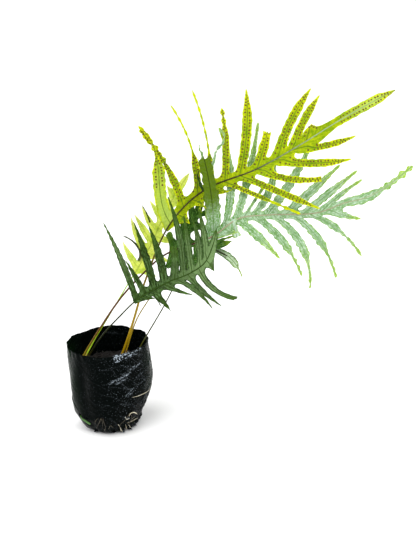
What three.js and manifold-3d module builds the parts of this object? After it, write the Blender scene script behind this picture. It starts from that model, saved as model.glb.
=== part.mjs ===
// Potted blue star fern: six fronds on a creeping rhizome, in a black film planter bag of potting mix.
// Millimetres, +Z up. The origin is the middle of the bag's base, and the front of the plant faces -Y.

import * as THREE from "three";
import { mergeVertices } from "three/addons/utils/BufferGeometryUtils.js";
import Module from "manifold-3d";

const wasm = await Module();
wasm.setup();

const DEGREE = Math.PI / 180;
const CLEARANCE = 0.35; // between any two pieces that touch

// Planter bag: [height, outer radius] of the filled bag, from its base to its rim
const BAG_HEIGHT = 145;
const BAG_WALL = 1.4;
const BAG_SIDES = 36;
const BAG_PROFILE = [[0, 46], [5, 54], [14, 60], [30, 66], [55, 69], [80, 69.5], [115, 69], [BAG_HEIGHT, 68.5]];
const BAG_HEIGHTS = [0, 5, 14, 24, 38, 55, 72, 88, 103, 118, 132, BAG_HEIGHT];
const GUSSETS = [-129 * DEGREE, 51 * DEGREE]; // the side folds of a flat-packed bag
const GUSSET_DEPTH = 3;
const GUSSET_WIDTH = 0.2; // radians
const SLUMP = 17; // how far the lower right side of the bag has settled inwards
const SLUMP_SIDE = -15 * DEGREE;
const SLUMP_TOP = 88;
const SIDE_FLATNESS = 1.5; // how far that side lies in at every height
const FILM_WAVES = [[0.7, 5, 24], [0.5, 9, -15]]; // [depth, waves round the bag, height per radian]
const RIM_WAVE = 1.6;

// Drain holes, as [direction in degrees, height]
const DRAIN_RADIUS = 4;
const DRAINS = [[-146, 33], [-106, 34], [-62, 34], [-18, 40], [25, 36], [70, 34], [115, 34], [165, 34]];

// Potting mix
const SOIL_TOP = 103;
const SOIL_LUMP = 2;
const SOIL_GAP = 0.5;
const SOIL_RINGS = [0.84, 0.66, 0.48, 0.3, 0.14]; // shares of the radius

// Rhizome
const RHIZOME_PATH = [
  [-62, 9, 104], [-54, 2, 106.5], [-44, -1, 107], [-25, -6, 106], [-5, 2, 107], [12, -2, 107], [26, 2, 107],
  [38, 3, 107], [50, 10, 105],
];
const RHIZOME_RADIUS = 5.5;
const RHIZOME_SIDES = 8;
const RHIZOME_STEP = 5;
const SCALE_RELIEF = 0.9;

// Roots that hang out of a drain hole. A route is a list of [direction in degrees, height, distance off the bag].
const ROOT_RADIUS = 0.8;
const ROOT_DEPTH = 9; // how far a root reaches into the mix
const ROOTS = [
  { name: "root_left", drain: 1, aside: -1.9, route: [[-110, 28, 2.2], [-114, 22, 2.6], [-118, 15, 3]] },
  { name: "root_middle", drain: 1, aside: 1.9, route: [[-103, 28, 2], [-102, 20, 2.4], [-105, 12, 3]] },
  { name: "root_front", drain: 2, aside: -1.9, route: [[-72, 27, 2.4], [-80, 19, 3], [-79, 10, 4], [-76, 3, 5]] },
  { name: "root_right", drain: 2, aside: 1.9, route: [[-59, 26, 2.2], [-64, 16, 3], [-60, 7, 4]] },
  { name: "root_back", drain: 5, aside: 0, route: [[72, 27, 2.2], [78, 16, 3], [74, 6, 5]] },
];

// Green shoot that pokes out of the left drain hole
const SHOOT = { drain: 0, aside: 0, route: [[-141, 30, 2.5], [-134, 26, 3.5], [-127, 22, 5]] };
const SHOOT_RADIUS = 1.9;
const SHOOT_FLATNESS = 0.35;

// Stipes and leaves
const STIPE_SIDES = 7;
const STIPE_STEP = 18;
const LAMINA_HALF = 0.35; // half the thickness of the leaf
const RIB_STEP = 14;
const ROW_STEP = 12;
const TURN_WIDTHS = 3; // widths along a lobe over which its rows turn square to it
const TROUGH = 0.12; // rise of a lobe's edges above its midrib, as a share of its half width
const NOTCH = 3; // depth of the bite in a cut end
const BEAD = 0.1; // how far the edges swell and shrink, for a ruffle of 1
const WING_START = 3.4;
const WING_RUN = 26; // length over which the wing opens to its full width
const WING_TAPER = 0.8;
const ROOT_GAP = 0.8; // half the gap between two lobes on the wing's edge
const SORUS_HEIGHT = 1;

// The fronds. A spine runs from the frond's foot to its tip, and rise points to the upper side of the leaf.
// blade is the stretch of the spine that carries lobes, and end the long leaf past the last of them.
// body is the share of a lobe that keeps its full width, and thread the least width of its tip.
// A lobe is [distance from the blade's start, length, degrees from the rachis, lean to the front, bow, width].
// What follows these says that the lobe is cut off, thins to a thread past its waist, or sways from side to side.
const FRONDS = [
  {
    name: "frond_fertile",
    colour: 0xa8c420,
    stipe: { colour: 0x8a6f1c, foot: 2.2, top: 1.5 },
    spine: [
      [15, -4, 107], [33, -9, 148], [49, -13, 188], [75, -18, 256], [122, -16, 344],
      [179, -8, 392], [268, -4, 420], [340, 2, 452], [398, 9, 481], [439, 12, 500], [466, 14, 512], [498, 16, 525],
    ],
    rise: [-0.2, 0.1, 1],
    blade: [249, 576],
    wing: 9,
    end: { width: 16 },
    body: 0.7,
    thread: 4,
    ruffle: 1.2,
    sori: true,
    above: [
      [14, 165, 52, 10, 7, 21, { waist: 0.6, thread: 5, sway: -8 }],
      [48, 143, 73, 5, 8, 13, { waist: 0.4, thread: 8 }],
      [78, 149, 70, 0, 12, 12, { waist: 0.4 }],
      [103, 156, 75, -5, 8, 11, { waist: 0.3 }],
      [127, 117, 73, 5, 4, 12, { waist: 0.7, thread: 6 }],
      [152, 138, 67, 0, 6, 16],
      [182, 61, 49, 0, 1, 16, { cut: true }],
      [218, 123, 35, -5, -6, 15],
      [245, 97, 33, 0, -4, 13],
      [271, 30, 42, 4, -1, 16],
    ],
    below: [
      [33, 24, 87, 12, 1, 9], [65, 22, 67, 12, 3, 9], [100, 32, 35, 14, -4, 8],
      [125, 132, 42, 25, 0, 8, { waist: 0.55 }],
      [153, 137, 41, 20, 0, 11], [182, 103, 34, 15, -8, 11, { cut: true }], [213, 123, 28, 10, -6, 13],
      [245, 105, 18, 5, -5, 11],
    ],
  },
  {
    name: "frond_blue",
    colour: 0x86ad8c,
    stipe: { colour: 0x6e3d1c, foot: 1.8, top: 1.4 },
    spine: [
      [-55, 1, 107], [-15, -8, 166], [28, -20, 224], [66, -30, 264], [112, -38, 301], [186, -42, 324],
      [233, -28, 347], [282, -10, 344], [362, 8, 336], [409, 18, 346], [443, 24, 350], [479, 30, 364], [526, 38, 394],
    ],
    rise: [-0.15, 0.55, 0.85],
    blade: [312, 578],
    wing: 8,
    end: { width: 17, waist: 0.42, thread: 7 },
    body: 0.5,
    thread: 5,
    ruffle: 2,
    above: [
      [32, 110, 64, 60, 4, 25, { cut: true }], [54, 171, 54, 0, 14, 14], [76, 175, 48, 0, 4, 13],
      [90, 68, 40, 4, 0, 5], [105, 127, 60, 0, 15, 14], [131, 170, 50, 0, 5, 15], [163, 137, 40, 0, 0, 15],
      [192, 128, 35, 0, 0, 13], [221, 94, 23, 0, -2, 9],
    ],
    below: [
      [54, 24, 66, 10, -4, 10], [79, 94, 72, 10, 2, 15], [108, 124, 62, 5, 12, 15, { waist: 0.65 }],
      [141, 135, 72, 0, 21, 15, { waist: 0.65 }], [175, 125, 61, 0, 13, 14, { waist: 0.6 }],
      [204, 109, 48, 0, 10, 13, { waist: 0.5 }], [234, 57, 37, 0, -2, 12],
    ],
  },
  {
    name: "frond_pale",
    colour: 0xcfe04a,
    stipe: { colour: 0x9fc23a, foot: 1.3, top: 1 },
    spine: [
      [-49, 5, 107], [-21, 20, 148], [0, 30, 175], [36, 48, 222], [79, 72, 278],
      [116, 94, 340], [138, 104, 370], [160, 112, 397],
    ],
    rise: [-1, 0.1, 0.3],
    blade: [176, 338],
    wing: 8,
    end: { width: 12 },
    body: 0.45,
    thread: 2.4,
    ruffle: 1,
    above: [
      [14, 52, 62, 0, -2, 11], [29, 55, 70, -8, 8, 4], [44, 65, 53, 8, -4, 12], [62, 57, 57, 0, 0, 12],
      [82, 50, 54, 0, -2, 11], [102, 41, 54, 0, 1, 10], [128, 28, 54, 0, -1, 10], [149, 23, 64, 0, -1, 10],
    ],
    below: [
      [12, 35, 82, 0, 0, 10], [43, 45, 84, 0, 0, 11], [74, 38, 86, 0, 0, 11], [106, 36, 80, 0, 0, 10],
      [139, 32, 68, 0, 0, 10],
    ],
  },
  {
    name: "frond_dark",
    colour: 0x4a6b42,
    stipe: { colour: 0x2c3018, foot: 1.5, top: 1.2 },
    spine: [
      [-47, -2, 107], [-6, -24, 166], [27, -46, 204], [63, -68, 240], [111, -84, 268],
      [148, -90, 282], [173, -88, 297], [188, -78, 322], [196, -68, 346],
    ],
    rise: [-0.2, 0.2, 1],
    blade: [174, 344],
    wing: 9,
    end: { width: 10 },
    body: 0.45,
    thread: 2.4,
    ruffle: 1,
    above: [
      [8, 135, 78, 0, 4, 12], [27, 62, 86, 8, 1, 10], [46, 111, 78, 0, 3, 13], [66, 96, 78, 2, 4, 14],
      [83, 55, 66, 12, 2, 14, { cut: true }], [99, 128, 79, -6, 6, 12], [114, 91, 68, 6, 0, 11],
      [129, 78, 62, -8, 4, 11], [144, 83, 42, 4, 2, 11],
    ],
    below: [
      [18, 24, 36, 0, 0, 5], [40, 45, 75, 0, 2, 11], [64, 50, 45, 0, -2, 7], [86, 75, 57, 10, 6, 9],
      [106, 73, 69, 0, -3, 9], [126, 76, 74, 0, -10, 10, { cut: true }], [143, 22, 110, 0, 1, 9],
    ],
  },
  {
    name: "frond_hidden",
    colour: 0x6b9a3c,
    stipe: { colour: 0xa08a2a, foot: 1.2, top: 0.9 },
    spine: [
      [22, 1, 107], [51, 8, 177], [79, 12, 216], [116, 16, 271], [154, 18, 329], [169, 20, 354], [179, 22, 378],
    ],
    rise: [-1, 0, 0.3],
    blade: [179, 289],
    wing: 8,
    end: { width: 12 },
    body: 0.5,
    thread: 2.4,
    ruffle: 1,
    above: [[28, 37, 46, 0, 1, 13, { cut: true }], [63, 40, 42, 0, 2, 12], [90, 39, 38, 0, 1, 11]],
    below: [[19, 30, 74, 0, -3, 12], [54, 35, 78, 0, -1, 13], [84, 32, 74, 0, -1, 12], [106, 28, 60, 0, -2, 10]],
  },
  {
    name: "frond_small",
    colour: 0x5d8f55,
    stipe: { colour: 0x55602a, foot: 1.2, top: 1 },
    spine: [
      [38, 2, 107], [63, -4, 148], [94, 26, 185], [137, 38, 247], [180, 38, 281], [200, 32, 288], [221, 26, 295],
    ],
    rise: [-0.5, 0.3, 1],
    blade: [181, 253],
    wing: 7,
    end: { width: 11 },
    body: 0.5,
    thread: 2.4,
    ruffle: 1.2,
    above: [[11, 32, 58, 0, 0, 12], [35, 34, 56, 0, 0, 12], [57, 35, 52, 0, 0, 11]],
    below: [[14, 25, 88, 0, 0, 10], [38, 23, 88, 0, 0, 9], [60, 73, 67, 0, 11, 10]],
  },
];

const vector = (x, y, z) => new THREE.Vector3(x, y, z);
const mix = THREE.MathUtils.lerp;
const ease = (x) => THREE.MathUtils.smoothstep(x, 0, 1);

// Closed solids from points and faces

function geometryOf(points, faces) {
  const geometry = new THREE.BufferGeometry();
  const flat = points.flatMap((point) => [point.x, point.y, point.z]);
  geometry.setAttribute("position", new THREE.Float32BufferAttribute(flat, 3));
  geometry.setIndex(faces);
  return geometry;
}

function middleOf(points) {
  const middle = vector(0, 0, 0);
  for (const point of points) middle.add(point);
  return middle.divideScalar(points.length);
}

// A skin through a row of rings of equal count, closed by a fan on its first and its last ring.
// Each of its quads is split along the shorter diagonal, so that a skin and its offset are split alike.
function skinThrough(rings) {
  const sides = rings[0].length;
  const points = [middleOf(rings[0]), ...rings.flat(), middleOf(rings.at(-1))];
  const faces = [];
  const index = (ring, k) => 1 + ring * sides + (k % sides);
  for (let k = 0; k < sides; k++) {
    faces.push(0, index(0, k + 1), index(0, k));
    for (let ring = 0; ring + 1 < rings.length; ring++) {
      const [a, b] = [index(ring, k), index(ring, k + 1)];
      const [c, d] = [index(ring + 1, k + 1), index(ring + 1, k)];
      if (points[a].distanceTo(points[c]) < points[b].distanceTo(points[d])) faces.push(a, b, c, a, c, d);
      else faces.push(a, b, d, b, c, d);
    }
    faces.push(points.length - 1, index(rings.length - 1, k), index(rings.length - 1, k + 1));
  }
  return geometryOf(points, faces);
}

// Booleans

function solidOf(geometry) {
  const bare = geometry.clone();
  bare.deleteAttribute("normal");
  bare.deleteAttribute("uv");
  const merged = mergeVertices(bare, 1e-4);
  const vertProperties = new Float32Array(merged.attributes.position.array);
  const triVerts = new Uint32Array(merged.index.array);
  return new wasm.Manifold(new wasm.Mesh({ numProp: 3, vertProperties, triVerts }));
}

// What is left of a geometry after the cutters are taken out of it, without loose crumbs
function cutFrom(geometry, cutters) {
  let solid = solidOf(geometry);
  for (const cutter of cutters) solid = solid.subtract(solidOf(cutter));
  const bodies = solid.decompose().sort((a, b) => b.volume() - a.volume());
  const mesh = bodies[0].getMesh();
  const cut = new THREE.BufferGeometry();
  cut.setAttribute("position", new THREE.BufferAttribute(new Float32Array(mesh.vertProperties), 3));
  cut.setIndex(new THREE.BufferAttribute(new Uint32Array(mesh.triVerts), 1));
  return cut;
}

// A spine: a smooth curve with a frame of three directions at each distance along it

class Spine {
  constructor(points, rise) {
    this.curve = new THREE.CatmullRomCurve3(points.map((point) => vector(...point)), false, "centripetal");
    this.curve.arcLengthDivisions = 600;
    this.rise = vector(...rise);
    this.length = this.curve.getLength();
  }

  at(distance) {
    const share = THREE.MathUtils.clamp(distance / this.length, 0, 1);
    const origin = this.curve.getPointAt(share);
    const along = this.curve.getTangentAt(share);
    const across = this.rise.clone().addScaledVector(along, -this.rise.dot(along)).normalize();
    const out = along.clone().cross(across);
    return { origin, along, across, out };
  }
}

function stationsBetween(from, to, step) {
  const count = Math.max(1, Math.round((to - from) / step));
  return Array.from({ length: count + 1 }, (_, i) => mix(from, to, i / count));
}

// A rod along a spine. radiusAt gives its radius at a distance, row and side; flatness thins it front to back.
function rodAlong(spine, from, to, step, sides, radiusAt, flatness = 1) {
  const rings = stationsBetween(from, to, step).map((distance, row) => {
    const { origin, across, out } = spine.at(distance);
    return Array.from({ length: sides }, (_, k) => {
      const angle = (2 * Math.PI * k) / sides;
      const radius = radiusAt(distance, row, k);
      return origin
        .clone()
        .addScaledVector(across, radius * Math.cos(angle))
        .addScaledVector(out, radius * flatness * Math.sin(angle));
    });
  });
  return skinThrough(rings);
}

// A rod and its socket share one rule: the socket is wider by the clearance, and starts that much deeper.
const rodStart = (extra) => (extra > 0 ? 0 : CLEARANCE);

// Bag and potting mix

function profileRadius(height) {
  const above = Math.max(1, BAG_PROFILE.findIndex(([top]) => top >= height));
  const [low, lowRadius] = BAG_PROFILE[above - 1];
  const [high, highRadius] = BAG_PROFILE[above];
  return mix(lowRadius, highRadius, (height - low) / (high - low));
}

// Outer radius of the bag: the profile, less its gussets and its slump, with slack waves in the film
function bagRadius(angle, height) {
  let radius = profileRadius(height);
  for (const gusset of GUSSETS) {
    const turn = Math.acos(Math.cos(angle - gusset));
    radius -= GUSSET_DEPTH * Math.exp(-((turn / GUSSET_WIDTH) ** 2));
  }
  const slump = SLUMP * (1 - ease(height / SLUMP_TOP)) * mix(0.5, 1, ease(height / 15));
  radius -= (SIDE_FLATNESS + slump) * Math.max(0, Math.cos(angle - SLUMP_SIDE)) ** 1.5;
  for (const [depth, waves, pitch] of FILM_WAVES) radius += depth * Math.sin(waves * angle + height / pitch);
  return radius;
}

function bagRing(height, inset, lift = () => 0) {
  return Array.from({ length: BAG_SIDES }, (_, k) => {
    const angle = (2 * Math.PI * k) / BAG_SIDES;
    const radius = bagRadius(angle, height) - inset;
    return vector(radius * Math.cos(angle), radius * Math.sin(angle), height + lift(angle));
  });
}

function rimLift(height) {
  const share = ease((height - SOIL_TOP) / (BAG_HEIGHT - SOIL_TOP));
  return (angle) => share * RIM_WAVE * (Math.sin(2 * angle + 0.6) + 0.6 * Math.sin(5 * angle));
}

function drainPlace([degrees, height]) {
  return { angle: degrees * DEGREE, height, radius: bagRadius(degrees * DEGREE, height) };
}

function drainCutter(drain) {
  const { angle, height, radius } = drainPlace(drain);
  const cutter = new THREE.CylinderGeometry(DRAIN_RADIUS, DRAIN_RADIUS, 16, 10);
  cutter.rotateZ(Math.PI / 2);
  cutter.rotateZ(angle);
  cutter.translate(radius * Math.cos(angle), radius * Math.sin(angle), height);
  return cutter;
}

function planterBag() {
  const outside = BAG_HEIGHTS.map((height) => bagRing(height, 0, rimLift(height)));
  const inside = BAG_HEIGHTS.slice(1)
    .reverse()
    .map((height) => bagRing(height, BAG_WALL, rimLift(height)));
  const floor = bagRing(0, BAG_WALL, () => BAG_WALL);
  return cutFrom(skinThrough([...outside, ...inside, floor]), DRAINS.map(drainCutter));
}

function soilLump(x, y) {
  return SOIL_LUMP * (Math.sin(x / 7 + 1) * Math.cos(y / 6) + 0.5 * Math.sin((x + y) / 4));
}

function pottingMix(cutters) {
  const inset = BAG_WALL + SOIL_GAP;
  const heights = BAG_HEIGHTS.filter((height) => height > 0 && height <= SOIL_TOP);
  const bottom = bagRing(0, inset + 3, () => BAG_WALL + SOIL_GAP);
  const wall = heights.map((height) => bagRing(height, inset));
  const edge = wall.at(-1);
  const top = SOIL_RINGS.map((share) =>
    edge.map(({ x, y }) => vector(x * share, y * share, SOIL_TOP + soilLump(x * share, y * share))),
  );
  return cutFrom(skinThrough([bottom, ...wall, ...top]), cutters);
}

// Rhizome, with overlapping rows of scales as a stepped relief

const rhizomeSpine = new Spine(RHIZOME_PATH, [0, 0, 1]);

function rhizomeBody(extra = 0) {
  const length = rhizomeSpine.length;
  const radiusAt = (distance, row, side) => {
    const blunt = Math.min(1, 0.45 + Math.min(distance, length - distance) / 9);
    const scale = (row + side) % 2 ? SCALE_RELIEF : 0;
    return RHIZOME_RADIUS * blunt + scale + extra;
  };
  return rodAlong(rhizomeSpine, 0, length, RHIZOME_STEP, RHIZOME_SIDES, radiusAt);
}

// Roots and the shoot, which leave the mix through a drain hole

function drainSpine({ drain, aside, route }) {
  const { angle, height, radius } = drainPlace(DRAINS[drain]);
  const throughHole = (distance) => [
    distance * Math.cos(angle) - aside * Math.sin(angle),
    distance * Math.sin(angle) + aside * Math.cos(angle),
    height,
  ];
  const outside = route.map(([degrees, level, away]) => {
    const reach = bagRadius(degrees * DEGREE, level) + away;
    return [reach * Math.cos(degrees * DEGREE), reach * Math.sin(degrees * DEGREE), level];
  });
  return new Spine([throughHole(radius - ROOT_DEPTH), throughHole(radius - 1), ...outside], [0, 0, 1]);
}

function rootRod(root, extra = 0) {
  const spine = drainSpine(root);
  const radiusAt = (distance) => ROOT_RADIUS * mix(1, 0.5, distance / spine.length) + extra;
  return rodAlong(spine, rodStart(extra), spine.length, 5, 5, radiusAt);
}

function shootRod(extra = 0) {
  const spine = drainSpine(SHOOT);
  const radiusAt = (distance) => SHOOT_RADIUS * mix(0.5, 1, ease(distance / 16)) + extra;
  return rodAlong(spine, rodStart(extra), spine.length, 4, 6, radiusAt, extra > 0 ? 1 : SHOOT_FLATNESS);
}

// Stipes

function stipeRod(frond, extra = 0) {
  const { foot, top } = frond.stipe;
  const end = frond.blade[0] - CLEARANCE;
  const radiusAt = (distance) => mix(foot, top, ease(distance / end)) + extra;
  return rodAlong(frond.path, rodStart(extra), end, STIPE_STEP, STIPE_SIDES, radiusAt);
}

// A leaf sheet: points with a half thickness and triangles between them, thickened into one closed solid

class Sheet {
  constructor() {
    this.points = [];
    this.halves = [];
    this.faces = [];
    this.bumps = [];
  }

  add(point, half, at) {
    this.points.push(point);
    this.halves.push(half);
    return { index: this.points.length - 1, at };
  }

  // Triangles between two rows of points, each sorted by its own position "at"
  join(lower, upper) {
    let i = 0;
    let j = 0;
    while (i + 1 < lower.length || j + 1 < upper.length) {
      const lowerNext = i + 1 < lower.length ? lower[i + 1].at + lower[i].at : Infinity;
      const upperNext = j + 1 < upper.length ? upper[j + 1].at + upper[j].at : Infinity;
      if (lowerNext <= upperNext) {
        this.faces.push([lower[i].index, lower[i + 1].index, upper[j].index]);
        i++;
      } else {
        this.faces.push([lower[i].index, upper[j + 1].index, upper[j].index]);
        j++;
      }
    }
  }

  normals() {
    const normals = this.points.map(() => vector(0, 0, 0));
    for (const [a, b, c] of this.faces) {
      const [p, q, r] = [this.points[a], this.points[b], this.points[c]];
      const normal = q.clone().sub(p).cross(r.clone().sub(p));
      for (const corner of [a, b, c]) normals[corner].add(normal);
    }
    return normals.map((normal) => normal.normalize());
  }

  solid() {
    const count = this.points.length;
    const normals = this.normals();
    const front = this.points.map((point, i) => point.clone().addScaledVector(normals[i], this.halves[i]));
    const back = this.points.map((point, i) => point.clone().addScaledVector(normals[i], -this.halves[i]));
    const points = [...front, ...back];
    const faces = [];
    const bumped = new Set(this.bumps.flatMap(({ pair }) => pair));
    const edges = new Map();
    this.faces.forEach(([a, b, c], face) => {
      if (!bumped.has(face)) faces.push(a, b, c);
      faces.push(count + c, count + b, count + a);
      for (const [from, to] of [[a, b], [b, c], [c, a]]) {
        if (!edges.delete(`${to} ${from}`)) edges.set(`${from} ${to}`, [from, to]);
      }
    });
    for (const [from, to] of edges.values()) {
      faces.push(to, from, count + from);
      faces.push(to, count + from, count + to);
    }
    for (const { corners } of this.bumps) {
      const normal = middleOf(corners.map((corner) => normals[corner])).normalize();
      points.push(middleOf(corners.map((corner) => front[corner])).addScaledVector(normal, SORUS_HEIGHT));
      corners.forEach((corner, k) => faces.push(corner, corners[(k + 1) % corners.length], points.length - 1));
    }
    return geometryOf(points, faces);
  }
}

// Full width of a lobe at a share of its length: even over its body, then tapering, or waisted to a thread
function lobeWidth(frond, width, share, end) {
  const thread = end.thread ?? frond.thread;
  if (end.waist) return mix(width, thread, ease((share - end.waist) / 0.16 + 0.5));
  const taper = Math.min(1, (1 - share) / (1 - frond.body)) ** 0.8;
  return Math.max(width * (end.cut ? Math.max(taper, 0.8) : taper), thread);
}

// One lobe, from the three points that it shares with the wing's edge out to its tip.
// Its rows of points turn from the rachis' direction until they lie square across it.
function addLobe(sheet, frond, lobe, side, root) {
  const [at, length, degrees, lean, bow, width, end = {}] = lobe;
  const { origin, along, across, out } = frond.path.at(frond.blade[0] + at);
  const angle = degrees * DEGREE;
  const reach = along
    .clone()
    .multiplyScalar(length * Math.cos(angle))
    .addScaledVector(across, side * length * Math.sin(angle));
  const sideways = reach.clone().cross(out).multiplyScalar(side).normalize();
  reach.addScaledVector(out, lean);
  const forward = reach.clone().normalize();
  const facing = sideways.clone().cross(forward).multiplyScalar(side);
  const start = wingWidth(frond, at) / (length * Math.sin(angle));
  const rows = Math.max(3, Math.round((length * (1 - start)) / ROW_STEP));
  let previous = root;
  for (let row = 1; row <= rows; row++) {
    const share = mix(start, 1, row / rows);
    const middle = origin
      .clone()
      .addScaledVector(reach, share)
      .addScaledVector(sideways, 4 * bow * share * (1 - share))
      .addScaledVector(sideways, 10 * (end.sway ?? 0) * share * (1 - share) * (1 - 2 * share));
    const last = row === rows;
    if (last && !end.cut) {
      joinRows(sheet, previous, [sheet.add(middle, LAMINA_HALF, 0)], side);
      return;
    }
    const turn = ease(((share - start) * length) / (TURN_WIDTHS * width));
    const crosswise = along.clone().lerp(sideways, turn).normalize();
    const square = crosswise.clone().cross(forward).length();
    const bead = 1 + (row % 2 ? BEAD : -BEAD) * frond.ruffle * share;
    const half = (0.5 * bead * lobeWidth(frond, width, share, end)) / square;
    const wave = (row % 2 ? 1 : -1) * frond.ruffle * share;
    const rib = mix(2 * LAMINA_HALF, LAMINA_HALF, share);
    const next = [-1, 0, 1].map((k) =>
      sheet.add(
        middle
          .clone()
          .addScaledVector(crosswise, k * half)
          .addScaledVector(facing, k === 0 ? 0 : k * wave + TROUGH * half)
          .addScaledVector(forward, last && k === 0 ? -NOTCH : 0),
        k === 0 ? rib : LAMINA_HALF,
        k,
      ),
    );
    joinRows(sheet, previous, next, side);
    if (frond.sori && row > 1 && row < rows) addSori(sheet, previous, next, side);
    previous = next;
  }
}

function joinRows(sheet, inner, outer, side) {
  if (side > 0) sheet.join(inner, outer);
  else sheet.join(outer, inner);
}

// A spore heap on each half of the stretch between two rows, on the side of the leaf that faces the front
function addSori(sheet, inner, outer, side) {
  const [low, high] = side > 0 ? [inner, outer] : [outer, inner];
  const firstFace = sheet.faces.length - 4;
  [0, 1].forEach((half) => {
    const corners = [low[half], low[half + 1], high[half + 1], high[half]].map(({ index }) => index);
    sheet.bumps.push({ corners, pair: [firstFace + 2 * half, firstFace + 2 * half + 1] });
  });
}

// Half width of the green wing beside the rachis
function wingWidth(frond, at) {
  const length = frond.blade[1] - frond.blade[0];
  return mix(WING_START, frond.wing, ease(at / WING_RUN)) * mix(1, WING_TAPER, at / length);
}

// Where each lobe meets the wing's edge: [first, middle, last] distance, held apart from its neighbours
function lobeRoots(frond, lobes) {
  const end = frond.blade[1] - frond.blade[0];
  const middles = lobes.map(([at, , degrees]) => at + wingWidth(frond, at) / Math.tan(degrees * DEGREE));
  return lobes.map(([, , degrees, , , width], i) => {
    const half = (0.5 * width) / Math.sin(degrees * DEGREE);
    const before = (i > 0 ? mix(middles[i - 1], middles[i], 0.5) : 0) + ROOT_GAP;
    const after = (i + 1 < lobes.length ? mix(middles[i], middles[i + 1], 0.5) : end) - ROOT_GAP;
    const middle = Math.min(middles[i], end - 4);
    return [Math.max(middle - half, before), middle, Math.min(middle + half, after)];
  });
}

// The wing's edge on one side and its lobes
function addWing(sheet, frond, lobes, side) {
  const start = frond.blade[0];
  const end = frond.blade[1] - start;
  const edgePoint = (at, half) => {
    const { origin, across } = frond.path.at(start + at);
    return sheet.add(origin.clone().addScaledVector(across, side * wingWidth(frond, at)), half, at);
  };
  const roots = lobeRoots(frond, lobes).map((stations) =>
    stations.map((at, k) => edgePoint(at, k === 1 ? 2 * LAMINA_HALF : LAMINA_HALF)),
  );
  const edge = [edgePoint(0, LAMINA_HALF)];
  for (const root of [...roots, [{ at: end }]]) {
    const from = edge.at(-1).at;
    const gap = root[0].at - from;
    const inner = Math.min(Math.ceil(gap / RIB_STEP), Math.floor(gap / 3)) - 1;
    for (let i = 1; i <= inner; i++) edge.push(edgePoint(from + (gap * i) / (inner + 1), LAMINA_HALF));
    if (root.length === 3) edge.push(...root);
  }
  edge.push(edgePoint(end, LAMINA_HALF));
  lobes.forEach((lobe, i) => {
    const root = roots[i].map(({ index }, k) => ({ index, at: k - 1 }));
    addLobe(sheet, frond, lobe, side, root);
  });
  return edge;
}

// Rachis: three lines of points, the middle one thick enough to stand out as a rib on both faces
function addRib(sheet, frond) {
  const [start, stop] = frond.blade;
  return [-1, 0, 1].map((k) =>
    stationsBetween(0, stop - start, RIB_STEP).map((at) => {
      const { origin, across } = frond.path.at(start + at);
      const share = at / (stop - start);
      const spread = k * frond.stipe.top * mix(1.3, 0.8, share);
      const half = k === 0 ? frond.stipe.top * mix(1, 0.6, share) : LAMINA_HALF;
      return sheet.add(origin.clone().addScaledVector(across, spread), half, at);
    }),
  );
}

// The end of a frond, past its last lobes, as one long leaf in line with the rachis
function addEnd(sheet, frond, root) {
  const from = frond.blade[1];
  const rows = Math.max(2, Math.round((frond.path.length - from) / ROW_STEP));
  let previous = root;
  for (let row = 1; row <= rows; row++) {
    const share = row / rows;
    const { origin, across, out } = frond.path.at(mix(from, frond.path.length, share));
    const wave = (row % 2 ? 1 : -1) * frond.ruffle * share;
    const bead = 1 + (row % 2 ? BEAD : -BEAD) * frond.ruffle * share;
    const half = 0.5 * bead * lobeWidth(frond, frond.end.width, share, frond.end);
    const next = (row === rows ? [0] : [-1, 0, 1]).map((k) =>
      sheet.add(
        origin
          .clone()
          .addScaledVector(across, k * half)
          .addScaledVector(out, k * wave),
        k === 0 ? 1.6 * LAMINA_HALF : LAMINA_HALF,
        k,
      ),
    );
    sheet.join(next, previous);
    previous = next;
  }
}

function frondBlade(frond) {
  const sheet = new Sheet();
  const rib = addRib(sheet, frond);
  const lines = [addWing(sheet, frond, frond.below, -1), ...rib, addWing(sheet, frond, frond.above, 1)];
  for (let i = 0; i + 1 < lines.length; i++) sheet.join(lines[i], lines[i + 1]);
  const root = lines.map((line, i) => ({ index: line.at(-1).index, at: (i - 2) / 2 }));
  addEnd(sheet, frond, root);
  return sheet.solid();
}

// The part

const group = new THREE.Group();

function addPiece(name, geometry, color, roughness) {
  const mesh = new THREE.Mesh(geometry, new THREE.MeshStandardMaterial({ color, roughness, metalness: 0 }));
  mesh.name = name;
  group.add(mesh);
}

for (const frond of FRONDS) frond.path = new Spine(frond.spine, frond.rise);

const stipeSockets = FRONDS.map((frond) => stipeRod(frond, CLEARANCE));
const rootSockets = [...ROOTS.map((root) => rootRod(root, CLEARANCE)), shootRod(CLEARANCE)];

addPiece("planter_bag", planterBag(), 0x0b0d0c, 0.28);
addPiece("potting_mix", pottingMix([rhizomeBody(CLEARANCE), ...stipeSockets, ...rootSockets]), 0x1d130c, 0.95);
addPiece("rhizome", cutFrom(rhizomeBody(), stipeSockets), 0x8a6a3a, 0.85);
for (const root of ROOTS) addPiece(root.name, rootRod(root), 0xcfc4a0, 0.7);
addPiece("shoot", shootRod(), 0x4f9a2c, 0.5);
for (const frond of FRONDS) {
  addPiece(`${frond.name}_stipe`, stipeRod(frond), frond.stipe.colour, 0.4);
  addPiece(`${frond.name}_blade`, frondBlade(frond), frond.colour, 0.5);
}

export default group;
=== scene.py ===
# %% [markdown]
# # A potted blue star fern
# Six fronds grow from a creeping rhizome in a black film planter bag. The bag, the potting mix and each
# frond already exist as plain solids, measured in metres with Z up, and each one here gets a finer twin in
# the same place. We work in millimetres, as a gardener would measure, and turn them to metres on the way in.

import math
import random

import bpy
import numpy as np
from mathutils import Matrix, Vector, noise


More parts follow.
